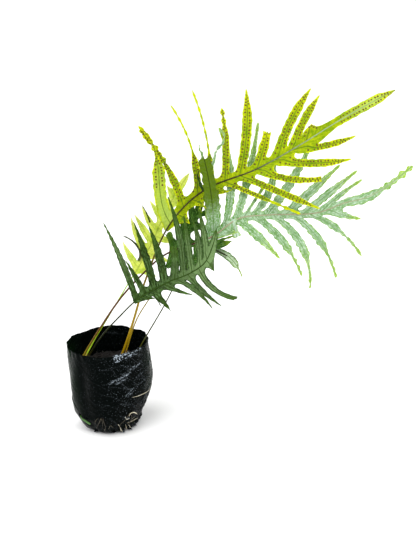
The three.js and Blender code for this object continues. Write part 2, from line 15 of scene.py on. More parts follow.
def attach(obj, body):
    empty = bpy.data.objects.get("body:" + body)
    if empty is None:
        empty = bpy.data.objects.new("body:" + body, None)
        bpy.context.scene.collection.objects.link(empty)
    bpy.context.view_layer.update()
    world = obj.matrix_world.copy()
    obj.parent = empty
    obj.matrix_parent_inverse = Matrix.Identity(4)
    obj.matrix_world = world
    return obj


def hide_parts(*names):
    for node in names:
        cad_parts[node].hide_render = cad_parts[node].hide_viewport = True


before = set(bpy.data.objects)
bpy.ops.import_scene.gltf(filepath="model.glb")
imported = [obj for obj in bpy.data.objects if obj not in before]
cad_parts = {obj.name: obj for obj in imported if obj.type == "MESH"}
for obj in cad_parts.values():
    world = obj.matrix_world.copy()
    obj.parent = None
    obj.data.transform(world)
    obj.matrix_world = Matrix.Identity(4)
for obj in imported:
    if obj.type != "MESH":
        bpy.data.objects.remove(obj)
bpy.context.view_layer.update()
MM = 0.001
random.seed(5)
print("solids:", len(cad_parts))

# %% [markdown]
# Small tools. Blender's operators act on what is selected, so one function selects a single piece. Another
# hands a finished piece over: it rides with the part, stands for its solid, and gets its finish.

# %% Helpers for pieces
def pick(piece):
    bpy.ops.object.select_all(action="DESELECT")
    piece.select_set(True)
    bpy.context.view_layer.objects.active = piece


def modify(piece, kind, **settings):
    """Adds one modifier and applies it."""
    pick(piece)
    bpy.ops.object.modifier_add(type=kind)
    modifier = piece.modifiers[-1]
    for key, value in settings.items():
        setattr(modifier, key, value)
    bpy.ops.object.modifier_apply(modifier=modifier.name)


def mesh_piece(name, points, faces):
    """A mesh from points in millimetres."""
    mesh = bpy.data.meshes.new(name)
    mesh.from_pydata([tuple(MM * c for c in point) for point in points], [], faces)
    piece = bpy.data.objects.new(name, mesh)
    bpy.context.scene.collection.objects.link(piece)
    return piece


def tidy_mesh(piece, distance=1e-5, outward=True):
    """Merges doubled points, and turns the faces of a closed piece outwards."""
    pick(piece)
    bpy.ops.object.mode_set(mode="EDIT")
    bpy.ops.mesh.select_all(action="SELECT")
    bpy.ops.mesh.remove_doubles(threshold=distance)
    if outward:
        bpy.ops.mesh.normals_make_consistent(inside=False)
    bpy.ops.object.mode_set(mode="OBJECT")


def join(name, pieces):
    """Makes one piece of several."""
    pick(pieces[0])
    for piece in pieces:
        piece.select_set(True)
    bpy.ops.object.join()
    pieces[0].name = name
    return pieces[0]


def hand_over(piece, slot, finish, *solids):
    """Gives a finished piece its look, its place on the part and the solids it stands for. The slot is not used.
    """
    pick(piece)
    bpy.ops.object.shade_smooth()
    piece.data.materials.clear()
    piece.data.materials.append(finish)
    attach(piece, "root")
    if solids:
        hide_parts(*solids)
    print(piece.name, len(piece.data.polygons), "faces")


def remember(piece, fact, values):
    """Stores one number per point for the finish to read."""
    layer = piece.data.attributes.new(fact, "FLOAT", "POINT")
    layer.data.foreach_set("value", values)


# %% Helpers for finishes
def linear(code):
    """An sRGB hex colour as the linear values that Blender mixes."""
    channels = [int(code[i : i + 2], 16) / 255 for i in (0, 2, 4)]
    return tuple(c / 12.92 if c <= 0.04045 else ((c + 0.055) / 1.055) ** 2.4 for c in channels) + (1,)


def every(mm):
    """The scale of a pattern whose grain or cell measures so many millimetres."""
    return 1 / (mm * MM)


def node(finish, kind, inputs={}, stops=(), **settings):
    """Adds a node. An input is a value, or (node, output) for a link. Stops are (place, hex) of a ramp."""
    made = finish.node_tree.nodes.new("ShaderNode" + kind)
    for key, value in settings.items():
        setattr(made, key, value)
    for key, value in inputs.items():
        if isinstance(value, tuple) and isinstance(value[0], bpy.types.Node):
            finish.node_tree.links.new(value[0].outputs[value[1]], made.inputs[key])
        else:
            made.inputs[key].default_value = value
    for i, (place, code) in enumerate(stops):
        if i >= len(made.color_ramp.elements):
            made.color_ramp.elements.new(place)
        made.color_ramp.elements[i].position = place
        made.color_ramp.elements[i].color = linear(code)
    return made


def new_finish(name):
    """An empty material with its Principled shader and its output."""
    finish = bpy.data.materials.new(name)
    finish.use_nodes = True
    return finish, finish.node_tree.nodes["Principled BSDF"]


def wire(finish, source, output, target, socket):
    finish.node_tree.links.new(source.outputs[output], target.inputs[socket])


# %% [markdown]
# ## Camera, floor and light
# The photograph was taken with a long lens, from a little above, with the camera rolled by almost five
# degrees. Its place was worked out from the bag's rim and its height. The floor is so large that it fills
# the whole frame, which gives the plain white ground of a catalogue picture.

# %% Camera
EYE = Vector((0.176, -1.933, 0.868))
PITCH, ROLL = math.radians(17.9), math.radians(-4.75)
gaze = Vector((0, math.cos(PITCH), -math.sin(PITCH)))
level = Vector((1, 0, 0))
upright = level.cross(gaze)
right = level * math.cos(ROLL) + upright * math.sin(ROLL)
above = upright * math.cos(ROLL) - level * math.sin(ROLL)

lens = bpy.data.cameras.new("camera")
lens.lens = 80
lens.sensor_fit = "VERTICAL"
lens.sensor_height = 36
camera = bpy.data.objects.new("camera", lens)
bpy.context.scene.collection.objects.link(camera)
camera.matrix_world = Matrix.Translation(EYE) @ Matrix((right, above, -gaze)).transposed().to_4x4()
bpy.context.scene.camera = camera
print("camera at", tuple(EYE))

# %% Floor
bpy.ops.object.select_all(action="DESELECT")
bpy.ops.mesh.primitive_plane_add(size=60, location=(0, 0, -0.0006))
floor = bpy.context.object
floor.name = "floor"
bpy.ops.object.transform_apply(location=True)
# Matt studio paper, rolled smooth: a soft white without shine
paper, shader = new_finish("white_paper_sweep")
grain = node(paper, "TexNoise", {"Scale": every(25)})
tone = node(paper, "ValToRGB", {0: (grain, 0)}, stops=((0.0, "f6f6f6"), (1.0, "fbfbfb")))
wire(paper, tone, 0, shader, "Base Color")
shader.inputs["Roughness"].default_value = 0.9
floor.data.materials.append(paper)

# %% [markdown]
# Soft light comes from all round, as in a white tent, and a broad soft sun keeps the floor evenly white as
# far as the camera sees. A large panel behind shines through the leaves, and two small bright ones on the
# right draw the sparkle on the creased film. The plain Standard view keeps whites white and greens vivid.

# %% Light
bpy.context.scene.view_settings.view_transform = "Standard"
world = bpy.data.worlds.new("tent")
bpy.context.scene.world = world
world.use_nodes = True
world.node_tree.nodes["Background"].inputs[0].default_value = (1, 1, 1, 1)
world.node_tree.nodes["Background"].inputs[1].default_value = 0.6


def aim(lamp, place):
    bpy.context.scene.collection.objects.link(lamp)
    lamp.location = place
    lamp.rotation_euler = (Vector((0.1, 0, 0.25)) - Vector(place)).to_track_quat("-Z", "Y").to_euler()


sun = bpy.data.lights.new("soft_sun", "SUN")
sun.energy = 2.5
sun.angle = math.radians(70)
aim(bpy.data.objects.new("soft_sun", sun), (-1.0, -0.8, 2.4))
PANELS = [
    ("through", (0.9, 1.8, 1.6), 1.4, 16),
    ("low_sparkle", (1.5, -1.5, 0.8), 0.12, 9),
    ("high_sparkle", (0.8, -1.5, 1.7), 0.12, 9),
]
for name, place, size, power in PANELS:
    panel = bpy.data.lights.new(name, "AREA")
    panel.shape = "DISK"
    panel.size = size
    panel.energy = power
    aim(bpy.data.objects.new(name, panel), place)
print("panels:", len(PANELS))

# %% [markdown]
# ## The planter bag
# It is thin polythene film, sold flat with a fold down each side, and filled by hand. The soft mix pushes
# it out into a barrel, its lower right side has slumped, and it creases all over. The ring of its radius at
# each height is the same rule that shaped the solid. The film's own small folds are added on top.

# %% The bag's shape
BAG_HEIGHT = 145
FILM_RADIUS = 69  # of the full barrel; lengths round the bag are measured on it
SOIL_TOP = 103
BAG_PROFILE = [(0, 46), (5, 54), (14, 60), (30, 66), (55, 69), (80, 69.5), (115, 69), (BAG_HEIGHT, 68.5)]
GUSSETS = [math.radians(-129), math.radians(51)]
DRAINS = [(-146, 33), (-106, 34), (-62, 34), (-18, 40), (25, 36), (70, 34), (115, 34), (165, 34)]
DRAIN_RADIUS = 4


def ease(x):
    x = min(max(x, 0), 1)
    return x * x * (3 - 2 * x)


def mix(a, b, t):
    return a + (b - a) * t


def bag_radius(angle, height):
    heights, radii = zip(*BAG_PROFILE)
    radius = float(np.interp(height, heights, radii))
    for gusset in GUSSETS:
        turn = math.acos(math.cos(angle - gusset))
        radius -= 3 * math.exp(-((turn / 0.2) ** 2))
    slump = 17 * (1 - ease(height / 88)) * mix(0.5, 1, ease(height / 15))
    radius -= (1.5 + slump) * max(0, math.cos(angle + math.radians(15))) ** 1.5
    return radius + 0.7 * math.sin(5 * angle + height / 24) + 0.5 * math.sin(9 * angle - height / 15)


def rim_lift(angle, height):
    share = ease((height - SOIL_TOP) / (BAG_HEIGHT - SOIL_TOP))
    back = 5.5 * max(0, math.cos(angle - math.radians(120))) ** 0.7
    return share * (back + 1.2 * (math.sin(2 * angle + 0.6) + 0.5 * math.sin(5 * angle)))


# %% [markdown]
# A crease is where noise passes through zero, so it forms long thin lines, as in crushed film. They run
# diagonally, and are strongest at the front right, where the film is slack. A few long creases are placed
# one by one as (degrees and height at each end, ridge, width, how much highlight is painted along it). At the
# foot the film gathers into pleats.

# %% Creases
LONG_CREASES = [
    (-89, 98, -58, 111, 2.0, 2.0, 1.0), (-80, 96, -64, 103, 1.2, 1.6, 0.7), (-68, 71, -57, 81, 1.6, 1.3, 1.0),
    (-65, 69, -54, 78, 1.5, 1.2, 1.0), (-60, 115, -50, 120, 1.4, 1.6, 0.9), (-53, 114, -40, 121, 1.4, 1.6, 0.9),
    (-71, 33, -68, 27, 1.2, 1.4, 1.0), (-69, 27, -62, 27, 1.2, 1.4, 1.0), (-72, 112, -60, 106, 1.0, 1.4, 0.5),
    (-100, 122, -72, 126, 1.0, 1.6, 0.05), (-78, 60, -60, 52, 1.2, 1.6, 0.1), (-50, 98, -34, 104, 1.2, 1.6, 0.2),
    (-48, 84, -30, 92, 1.2, 1.5, 0.15), (-40, 46, -16, 74, 1.5, 2.2, 0.1), (-100, 64, -78, 70, 0.8, 2.0, 0),
    (10, 30, 40, 90, 1.4, 3.0, 0.1), (90, 40, 120, 100, 1.4, 3.0, 0.12), (150, 110, 185, 70, 1.2, 3.0, 0.1),
    (-175, 60, -150, 40, 1.2, 2.6, 0), (70, 134, 100, 138, 1.4, 2.0, 0.06), (-20, 110, 5, 126, 1.4, 2.0, 0.15),
]


def crease(x, y, z, size, width):
    value = noise.noise(Vector((x / size, y / size, z / size)))
    return max(0, 1 - abs(value) / width)


def long_creases(around, height):
    """The ridge of the long creases at this place, and how much highlight is painted along them there."""
    total, painted_highlight = 0, 0
    for a0, h0, a1, h1, ridge, width, white in LONG_CREASES:
        start = Vector((FILM_RADIUS * math.radians(a0), h0))
        reach = Vector((FILM_RADIUS * math.radians(a1), h1)) - start
        here = Vector((around, height)) - start
        share = min(1, max(0, here.dot(reach) / reach.length_squared))
        away = (here - reach * share).length
        near = max(0, 1 - away / width) * math.sin(math.pi * (0.06 + 0.88 * share)) ** 0.5
        total, painted_highlight = total + ridge * near, painted_highlight + white * near
    return total, painted_highlight


def crease_highlight_paint(angle, height):
    """How much highlight is painted along the film's creases."""
    around = FILM_RADIUS * angle
    small = crease((around * 0.8 - height * 0.6) / 3, around * 0.6 + height * 0.8, 7, 13, 0.07)
    return min(1, long_creases(around, height)[1] + 0.12 * small * slackness(angle) ** 2)


def slackness(angle):
    """How loosely the film hangs, from a quarter to one. It is loosest at the front right."""
    return 0.25 + 0.75 * math.exp(-(((math.degrees(angle) + 52) / 42) ** 2))


def fullness(angle, height):
    """Where the mix pushes the film out further than the solid's smooth wall."""
    right_side = 3 * math.exp(-(((height - 98) / 34) ** 2)) * max(0, math.cos(angle)) ** 2
    return right_side + 3 * math.exp(-(((height - 32) / 20) ** 2)) * max(0, -math.cos(angle)) ** 6


def film_relief(angle, height):
    radius = bag_radius(angle, height) + fullness(angle, height)
    around = FILM_RADIUS * angle
    slack = slackness(angle)
    lean = around * 0.8 - height * 0.6
    run = around * 0.6 + height * 0.8
    relief = long_creases(around, height)[0]
    relief += 1.1 * crease(lean / 3, run, 7, 13, 0.16) * slack
    relief += 0.8 * crease(lean, run / 2.4, 31, 6, 0.2) * slack
    relief += 0.6 * noise.noise(Vector((around / 3.5, height / 3.5, 3))) * slack
    foot = 1 - ease(height / 22)
    pleats = abs(math.sin(8.5 * angle + 0.9 * math.sin(3 * angle))) - 0.5
    relief += foot * (1.4 + 3.4 * slack) * pleats
    rim = ease((height - 128) / 16)
    relief += rim * (0.9 * math.sin(13 * angle + 1.3 * math.sin(4 * angle)) + 0.5 * math.sin(31 * angle))
    return radius + relief - 0.6


# %% Film tube
AROUND, UP = 300, 112
bpy.ops.object.select_all(action="DESELECT")
bpy.ops.mesh.primitive_cylinder_add(
    vertices=AROUND, radius=FILM_RADIUS * MM, depth=BAG_HEIGHT * MM, end_fill_type="NOTHING",
    location=(0, 0, BAG_HEIGHT * MM / 2),
)
bag = bpy.context.object
bag.name = "planter_bag_film"
bpy.ops.object.transform_apply(location=True)
bpy.ops.object.mode_set(mode="EDIT")
bpy.ops.mesh.select_mode(type="EDGE")
bpy.ops.mesh.select_all(action="DESELECT")
bpy.ops.object.mode_set(mode="OBJECT")
for edge in bag.data.edges:
    low, high = (bag.data.vertices[i].co.z for i in edge.vertices)
    edge.select = abs(low - high) > 0.1
bpy.ops.object.mode_set(mode="EDIT")
bpy.ops.mesh.subdivide(number_cuts=UP)
print("film rings:", UP + 2, "points:", len(bag.data.vertices))

# %% [markdown]
# The floor of the bag is made by pulling the bottom ring inwards, ring by ring, and closing the middle.

# %% Film floor
bpy.ops.mesh.select_mode(type="VERT")
bpy.ops.mesh.select_all(action="DESELECT")
bpy.ops.object.mode_set(mode="OBJECT")
for vertex in bag.data.vertices:
    vertex.select = vertex.co.z < 1e-4
bpy.ops.object.mode_set(mode="EDIT")
for shrink in (0.9, 0.85, 0.8, 0.7, 0.55, 0.3):
    bpy.ops.mesh.extrude_region_move()
    bpy.ops.transform.resize(value=(shrink, shrink, 1), center_override=(0, 0, 0))
bpy.ops.mesh.merge(type="CENTER")
bpy.ops.object.mode_set(mode="OBJECT")

# %% Film shape and drain holes
for vertex in bag.data.vertices:
    x, y, z = (c / MM for c in vertex.co)
    angle = math.atan2(y, x)
    share = math.hypot(x, y) / FILM_RADIUS
    if z > 0.01 or share > 0.99:
        radius = film_relief(angle, z)
        pleat = abs(math.sin(8.5 * angle + 0.9 * math.sin(3 * angle)))
        lift = 5 * slackness(angle) * (1 - pleat) * max(0, 1 - z / 9)
        height = z + rim_lift(angle, z) + lift + 0.2
    else:
        radius = share * film_relief(angle, 0)
        height = 0.2 + 1.2 * max(0, share * (1 - share)) * (1 + noise.noise(Vector((x / 9, y / 9, 5))))
    vertex.co = (radius * math.cos(angle) * MM, radius * math.sin(angle) * MM, height * MM)

remember(bag, "slack", [slackness(math.atan2(v.co.y, v.co.x)) for v in bag.data.vertices])
# Highlights painted along the creases, kept per point for the finish
remember(bag, "blanched", [crease_highlight_paint(math.atan2(v.co.y, v.co.x), v.co.z / MM) for v in bag.data.vertices])
holes = []
for degrees, height in DRAINS:
    angle = math.radians(degrees)
    radius = bag_radius(angle, height)
    holes.append(Vector((radius * math.cos(angle), radius * math.sin(angle), height)) * MM)
pick(bag)
bpy.ops.object.mode_set(mode="EDIT")
bpy.ops.mesh.select_mode(type="FACE")
bpy.ops.mesh.select_all(action="DESELECT")
bpy.ops.object.mode_set(mode="OBJECT")
for face in bag.data.polygons:
    face.select = any((face.center - hole).length < DRAIN_RADIUS * MM for hole in holes)
bpy.ops.object.mode_set(mode="EDIT")
bpy.ops.mesh.delete(type="FACE")
bpy.ops.mesh.select_all(action="SELECT")
bpy.ops.mesh.normals_make_consistent(inside=False)
bpy.ops.object.mode_set(mode="OBJECT")
modify(bag, "SOLIDIFY", thickness=0.0005, offset=-1)
print("drain holes:", len(holes))

# %% [markdown]
# Where the rim is folded over at the front right, the film is crushed into small facets with painted highlights.
# The fold is a separate strip that starts inside the rim, goes over it and hangs down outside. Every point of it
# sits on the film's own formula, which no primitive does, so its grid is worked out and made a mesh at once.

# %% Folded rim
FOLD_FROM, FOLD_TO = math.radians(-81), math.radians(-34)
fold_points, fold_faces = [], []
COLUMNS_OF_FOLD, ROWS_OF_FOLD = 96, 16
for i in range(COLUMNS_OF_FOLD + 1):
    share = i / COLUMNS_OF_FOLD
    angle = mix(FOLD_FROM, FOLD_TO, share)
    hang = 12 * ease(share / 0.08) * mix(1, 0.3, share) + 1
    top = BAG_HEIGHT + rim_lift(angle, BAG_HEIGHT) + 0.6
    for j in range(ROWS_OF_FOLD + 1):
        down = j / ROWS_OF_FOLD
        over = min(1, down / 0.2)
        height = top + 1.2 * math.sin(math.pi * over) * (down < 0.2) - hang * max(0, down - 0.12)
        out = mix(-1.5, 1.2, over) + 1.2 * down
        crush = noise.noise(Vector((angle * FILM_RADIUS / 4.5, height / 3.2, 2))) + 0.6 * noise.noise(
            Vector((angle * FILM_RADIUS / 2.1, height / 1.8, 9))
        )
        radius = film_relief(angle, min(height, BAG_HEIGHT)) + out + 2.6 * crush * down
        fold_points.append((radius * math.cos(angle), radius * math.sin(angle), height))
for i in range(COLUMNS_OF_FOLD):
    for j in range(ROWS_OF_FOLD):
        a = i * (ROWS_OF_FOLD + 1) + j
        fold_faces.append((a, a + 1, a + ROWS_OF_FOLD + 2, a + ROWS_OF_FOLD + 1))
fold = mesh_piece("planter_bag_fold", fold_points, fold_faces)
modify(fold, "SOLIDIFY", thickness=0.0004, offset=0)
tidy_mesh(fold)

# %% [markdown]
# The flat bottom was welded, and its corners stick out at the foot as small crumpled ears. They grow out of
# the creased film, so they are worked out from its formula too, and Solidify gives them their thin wall.

# %% Ears of the bottom seam
EARS = [  # degrees, width in degrees, reach, height
    (-131, 17, 7, 9), (-92, 12, 5, 6), (-74, 13, 8, 7), (-57, 11, 8, 9), (-38, 14, 7, 10), (52, 16, 8, 9),
    (128, 12, 5, 6),
]
ears = []
for degrees, wide, reach, tall in EARS:
    points = []
    for i in range(9):
        for j in range(7):
            u, v = i / 8 - 0.5, j / 6
            angle = math.radians(degrees + wide * u * (1 - 0.75 * v))
            crumple = 1.6 * noise.noise(Vector((degrees + 4 * u, 3 * v, 2)))
            radius = film_relief(angle, 2) - 2 + (reach + 2) * v * (1 - 1.6 * u * u) + crumple
            height = 0.8 + tall * (0.5 - abs(u)) * (1 - v) + 1.2 * v + 1.4 * abs(crumple) * (1 - abs(2 * u))
            points.append((radius * math.cos(angle), radius * math.sin(angle), height))
    faces = [(i * 7 + j, i * 7 + j + 1, i * 7 + j + 8, i * 7 + j + 7) for i in range(8) for j in range(6)]
    ear = mesh_piece("ear", points, faces)
    modify(ear, "SOLIDIFY", thickness=0.0005, offset=0)
    tidy_mesh(ear)
    ears.append(ear)
ears = join("planter_bag_ears", ears)

# %% [markdown]
# Polythene film, blown thin and pigmented black. Highlights are painted along its creases as pale broken
# strokes, and painted sparkle lies in small specks on its slack side. In a white room a full gloss would hide
# the black, so the specular level is low. A faint green reflection is painted on its left panel and along its
# right edge.

# %% Film finish
film, shader = new_finish("black_polythene_film")
place = node(film, "TexCoord")
slack = node(film, "Attribute", attribute_name="slack")
# Painted green reflection: a faint green on the left panel and along the right edge, in blotches 22 mm across
split = node(film, "SeparateXYZ", {0: (place, "Object")})
side = node(film, "MapRange", {"Value": (split, "X"), 1: -0.066, 2: -0.046, 3: 1.0, 4: 0.0})
edge = node(film, "MapRange", {"Value": (split, "X"), 1: 0.052, 2: 0.068, 3: 0.0, 4: 0.8})
green = node(film, "Math", {0: (side, 0), 1: (edge, 0)}, operation="MAXIMUM")
patches = node(film, "TexNoise", {"Vector": (place, "Object"), "Scale": every(22.22), "Detail": 3.0})
painted_green_reflection = node(film, "Math", {0: (green, 0), 1: (patches, 0)}, operation="MULTIPLY")
tone = node(film, "ValToRGB", {0: (painted_green_reflection, 0)}, stops=((0.0, "020504"), (0.3, "060f08"), (0.7, "0b200a")))
# Painted highlights along the creases, broken up every 2 mm, and painted sparkle specks on the slack side
broken = node(film, "TexNoise", {"Vector": (place, "Object"), "Scale": every(2.083), "Detail": 2.0})
patchy = node(film, "MapRange", {"Value": (broken, 0), 1: 0.46, 2: 0.6})
white = node(film, "Attribute", attribute_name="blanched")
crease_highlights = node(film, "Math", {0: (white, "Fac"), 1: (patchy, 0)}, operation="MULTIPLY")
# Painted sparkle: small pale specks, densest on the slack side
sparkle_grain = node(film, "TexNoise", {"Vector": (place, "Object"), "Scale": every(1.316), "Detail": 1.0})
specks = node(film, "MapRange", {"Value": (sparkle_grain, 0), 1: 0.69, 2: 0.76, 3: 0.0, 4: 0.5})
painted_sparkle = node(film, "Math", {0: (specks, 0), 1: (slack, "Fac")}, operation="MULTIPLY")
pale = node(film, "Math", {0: (crease_highlights, 0), 1: (painted_sparkle, 0)}, operation="MAXIMUM")
# The painted highlights are a pale blue-grey
highlighted_film = node(film, "Mix", {0: (pale, 0), 6: (tone, 0), 7: linear("b4c1cc")}, data_type="RGBA")
wire(film, highlighted_film, 2, shader, "Base Color")
smear = node(film, "TexNoise", {"Vector": (place, "Object"), "Scale": every(8.333), "Detail": 4.0})
gloss = node(film, "MapRange", {"Value": (smear, 0), 1: 0.35, 2: 0.65, 3: 0.1, 4: 0.24})
wire(film, gloss, 0, shader, "Roughness")
# Crinkles about 3 mm across, and stretch marks of 0.8 mm, deeper where the film is slack
crinkle = node(film, "TexNoise", {
    "Vector": (place, "Object"), "Scale": every(3.03), "Detail": 3.0, "Distortion": 1.0,
})
stretch = node(film, "TexNoise", {"Vector": (place, "Object"), "Scale": every(0.8), "Detail": 1.0})
both = node(film, "Math", {0: (stretch, 0), 1: 0.3, 2: (crinkle, 0)}, operation="MULTIPLY_ADD")
deep = node(film, "Math", {0: (both, 0), 1: (slack, "Fac")}, operation="MULTIPLY")
bump = node(film, "Bump", {"Height": (deep, 0), "Strength": 1.0, "Distance": 0.0013})
wire(film, bump, 0, shader, "Normal")
shader.inputs["IOR"].default_value = 1.5
shader.inputs["Specular IOR Level"].default_value = 0.02
remember(fold, "slack", [1.0] * len(fold.data.vertices))
# Highlights painted on the fold's crushed facets, strongest at its left end
fold_highlights = []
for vertex in fold.data.vertices:
    share = (math.atan2(vertex.co.y, vertex.co.x) - FOLD_FROM) / (FOLD_TO - FOLD_FROM)
    facet = 0.5 + noise.noise(vertex.co / MM / 3.4)
    fold_highlights.append(mix(2.2, 1.0, share) * max(0, facet - mix(0.2, 0.4, share)))
remember(fold, "blanched", fold_highlights)
remember(ears, "slack", [0.8] * len(ears.data.vertices))
# Highlights painted along small creases on the ears
remember(ears, "blanched", [0.5 * crease(*(v.co / MM), 4, 0.2) for v in ears.data.vertices])
hand_over(bag, "film", film, "planter_bag")
hand_over(fold, "film", film)
hand_over(ears, "film", film)

# %% [markdown]
# ## Potting mix
# Composted bark with a little perlite. The lump has the solid's outline. Crumbs are a few chips, modelled
# once by squashing an icosphere, and scattered over the top as copies.

# %% Mix lump
def soil_height(x, y):
    lump = 2 * (math.sin(x / 7 + 1) * math.cos(y / 6) + 0.5 * math.sin((x + y) / 4))
    return SOIL_TOP + lump + 1.6 * noise.noise(Vector((x / 3, y / 3, 1))) + 0.8 * noise.noise(Vector((x, y, 4)))


bpy.ops.object.select_all(action="DESELECT")
bpy.ops.mesh.primitive_cylinder_add(
    vertices=120, radius=0.066, depth=0.1, end_fill_type="NOTHING", location=(0, 0, 0.052)
)
mix_lump = bpy.context.object
mix_lump.name = "potting_mix_lump"
bpy.ops.object.transform_apply(location=True)
bpy.ops.object.mode_set(mode="EDIT")
bpy.ops.mesh.select_mode(type="VERT")
TOP_STEPS = [max((25 - ring) / (26 - ring), 0.02) for ring in range(26)]
for at_top, steps in ((True, TOP_STEPS), (False, [0.52, 0.02])):
    bpy.ops.mesh.select_all(action="DESELECT")
    bpy.ops.object.mode_set(mode="OBJECT")
    for vertex in mix_lump.data.vertices:
        vertex.select = vertex.co.z > 0.1 if at_top else vertex.co.z < 0.003
    bpy.ops.object.mode_set(mode="EDIT")
    for shrink in steps:
        bpy.ops.mesh.extrude_region_move()
        bpy.ops.transform.resize(value=(shrink, shrink, 1), center_override=(0, 0, 0))
    bpy.ops.mesh.merge(type="CENTER")
bpy.ops.object.mode_set(mode="OBJECT")
for vertex in mix_lump.data.vertices:
    x, y, z = (c / MM for c in vertex.co)
    angle, share = math.atan2(y, x), math.hypot(x, y) / 66
    wall = bag_radius(angle, SOIL_TOP if z > 50 else 6) - 2.6
    if z > 50:
        radius = share * wall
        x, y = radius * math.cos(angle), radius * math.sin(angle)
        vertex.co = (x * MM, y * MM, soil_height(x, y) * MM)
    else:
        radius = share * (wall - 5)
        vertex.co = (radius * math.cos(angle) * MM, radius * math.sin(angle) * MM, 0.003)
tidy_mesh(mix_lump)


# %% Chips
def copies_of(template, name, placings):
    """One mesh of many copies. A placing is (position in mm, 3 axes as rows, scales)."""
    corners = np.array([v.co for v in template.data.vertices])
    shapes = [tuple(p.vertices) for p in template.data.polygons]
    points, faces = [], []
    for position, axes, scales in placings:
        moved = (corners * np.array(scales)) @ np.array(axes) + np.array(position)
        faces += [tuple(len(points) + i for i in shape) for shape in shapes]
        points += [tuple(p) for p in moved]
    return mesh_piece(name, points, faces)


def drop(piece):
    pick(piece)
    bpy.ops.object.delete()


bpy.ops.object.select_all(action="DESELECT")
bpy.ops.mesh.primitive_ico_sphere_add(subdivisions=1, radius=1)
chip = bpy.context.object
for vertex in chip.data.vertices:
    vertex.co = vertex.co * (1 + 0.5 * noise.noise(vertex.co * 3))


def scattered(count, smallest, largest):
    placings = []
    for _ in range(count):
        angle, reach = random.uniform(0, 2 * math.pi), math.sqrt(random.random())
        radius = reach * (bag_radius(angle, SOIL_TOP) - 5)
        x, y = radius * math.cos(angle), radius * math.sin(angle)
        turn = Matrix.Rotation(random.uniform(0, 6), 3, (random.random(), random.random(), 1))
        size = random.uniform(smallest, largest)
        scales = (size, size * random.uniform(0.4, 0.8), size * random.uniform(0.25, 0.5))
        placings.append(((x, y, soil_height(x, y) + 0.2 * size), turn, scales))
    return placings


bark_chips = copies_of(chip, "potting_mix_bark", scattered(650, 1.2, 4.2))
perlite = copies_of(chip, "potting_mix_perlite", scattered(60, 0.7, 1.6))
drop(chip)

# %% Mix finishes
# Composted bark, shredded and damp: nearly black and rough, browner where it has just broken; its near-black is
# partly painted shade for the dark inside of the bag
bark, shader = new_finish("composted_bark")
place = node(bark, "TexCoord")
coarse = node(bark, "TexNoise", {"Vector": (place, "Object"), "Scale": every(3.846), "Detail": 5.0})
tone = node(bark, "ValToRGB", {0: (coarse, 0)}, stops=((0.25, "040302"), (0.55, "0e0805"), (0.8, "22160d")))
wire(bark, tone, 0, shader, "Base Color")
shader.inputs["Roughness"].default_value = 0.95
bump = node(bark, "Bump", {"Height": (coarse, 0), "Strength": 0.8, "Distance": 0.001})
wire(bark, bump, 0, shader, "Normal")

# Expanded perlite, volcanic glass popped by heat: dull white and full of pores
white, shader = new_finish("expanded_perlite")
place = node(white, "TexCoord")
pores = node(white, "TexNoise", {"Vector": (place, "Object"), "Scale": every(1.111), "Detail": 3.0})
tone = node(white, "ValToRGB", {0: (pores, 0)}, stops=((0.3, "b9b4a6"), (0.7, "e8e5dc")))
wire(white, tone, 0, shader, "Base Color")
shader.inputs["Roughness"].default_value = 0.9
hand_over(mix_lump, "mix", bark, "potting_mix")
hand_over(bark_chips, "mix", bark)
hand_over(perlite, "mix", white)

# %% [markdown]
# ## Spines
# A frond follows a spine, a smooth curve through a few measured points. At each distance the spine gives
# three directions: along it, across it in the plane of the leaf, and out of the leaf to the front.

# %% Spine
class Spine:
    def __init__(self, points, rise):
        knots = np.array(points, float)
        knots = np.vstack([2 * knots[0] - knots[1], knots, 2 * knots[-1] - knots[-2]])
        gaps = np.sqrt(np.linalg.norm(np.diff(knots, axis=0), axis=1))
        steps = np.linspace(0, 1, 40, endpoint=False)[:, None]
        curve = []
        for i in range(1, len(knots) - 2):
            a, b, c, d = knots[i - 1 : i + 3]
            g0, g1, g2 = gaps[i - 1 : i + 2]
            leave = ((b - a) / g0 - (c - a) / (g0 + g1) + (c - b) / g1) * g1
            arrive = ((c - b) / g1 - (d - b) / (g1 + g2) + (d - c) / g2) * g1
            square = -3 * b + 3 * c - 2 * leave - arrive
            cube = 2 * b - 2 * c + leave + arrive
            curve.append(b + leave * steps + square * steps**2 + cube * steps**3)
        self.points = np.vstack(curve + [knots[-2:-1]])
        self.runs = np.concatenate([[0], np.cumsum(np.linalg.norm(np.diff(self.points, axis=0), axis=1))])
        self.length = self.runs[-1]
        self.rise = np.array(rise, float)

    def point(self, distance):
        return np.array([np.interp(distance, self.runs, self.points[:, k]) for k in range(3)])

    def at(self, distance):
        distance = min(max(distance, 0), self.length)
        low, high = max(0, distance - 0.5), min(self.length, distance + 0.5)
        along = unit(self.point(high) - self.point(low))
        across = unit(self.rise - along * (self.rise @ along))
        return self.point(distance), along, across, np.cross(along, across)


def unit(v):
    return v / np.linalg.norm(v)


# %% [markdown]
# Round pieces, such as stipes and roots, are paths with a round bevel, whose radius follows the real taper.
# A path becomes a mesh at once, so that it can be joined and finished like the rest.

# %% Rod
def rod(name, points, radii, sides=10):
    bpy.ops.object.select_all(action="DESELECT")
    bpy.ops.curve.primitive_nurbs_path_add()
    path = bpy.context.object
    path.name = name
    path.data.splines.clear()
    spline = path.data.splines.new("POLY")
    spline.points.add(len(points) - 1)
    for knot, point, radius in zip(spline.points, points, radii):
        knot.co = (*(MM * c for c in point), 1)
        knot.radius = radius
    path.data.bevel_depth = MM
    path.data.bevel_resolution = max(1, sides // 2 - 2)
    path.data.use_fill_caps = True
    bpy.ops.object.convert(target="MESH")
    tidy_mesh(path)
    return path


# %% [markdown]
# ## Rhizome
# A creeping stem as thick as a pencil, wrapped in golden papery scales that overlap like roof tiles. One
# scale is bent from a small grid, and copies of it are set in a spiral round the stem.

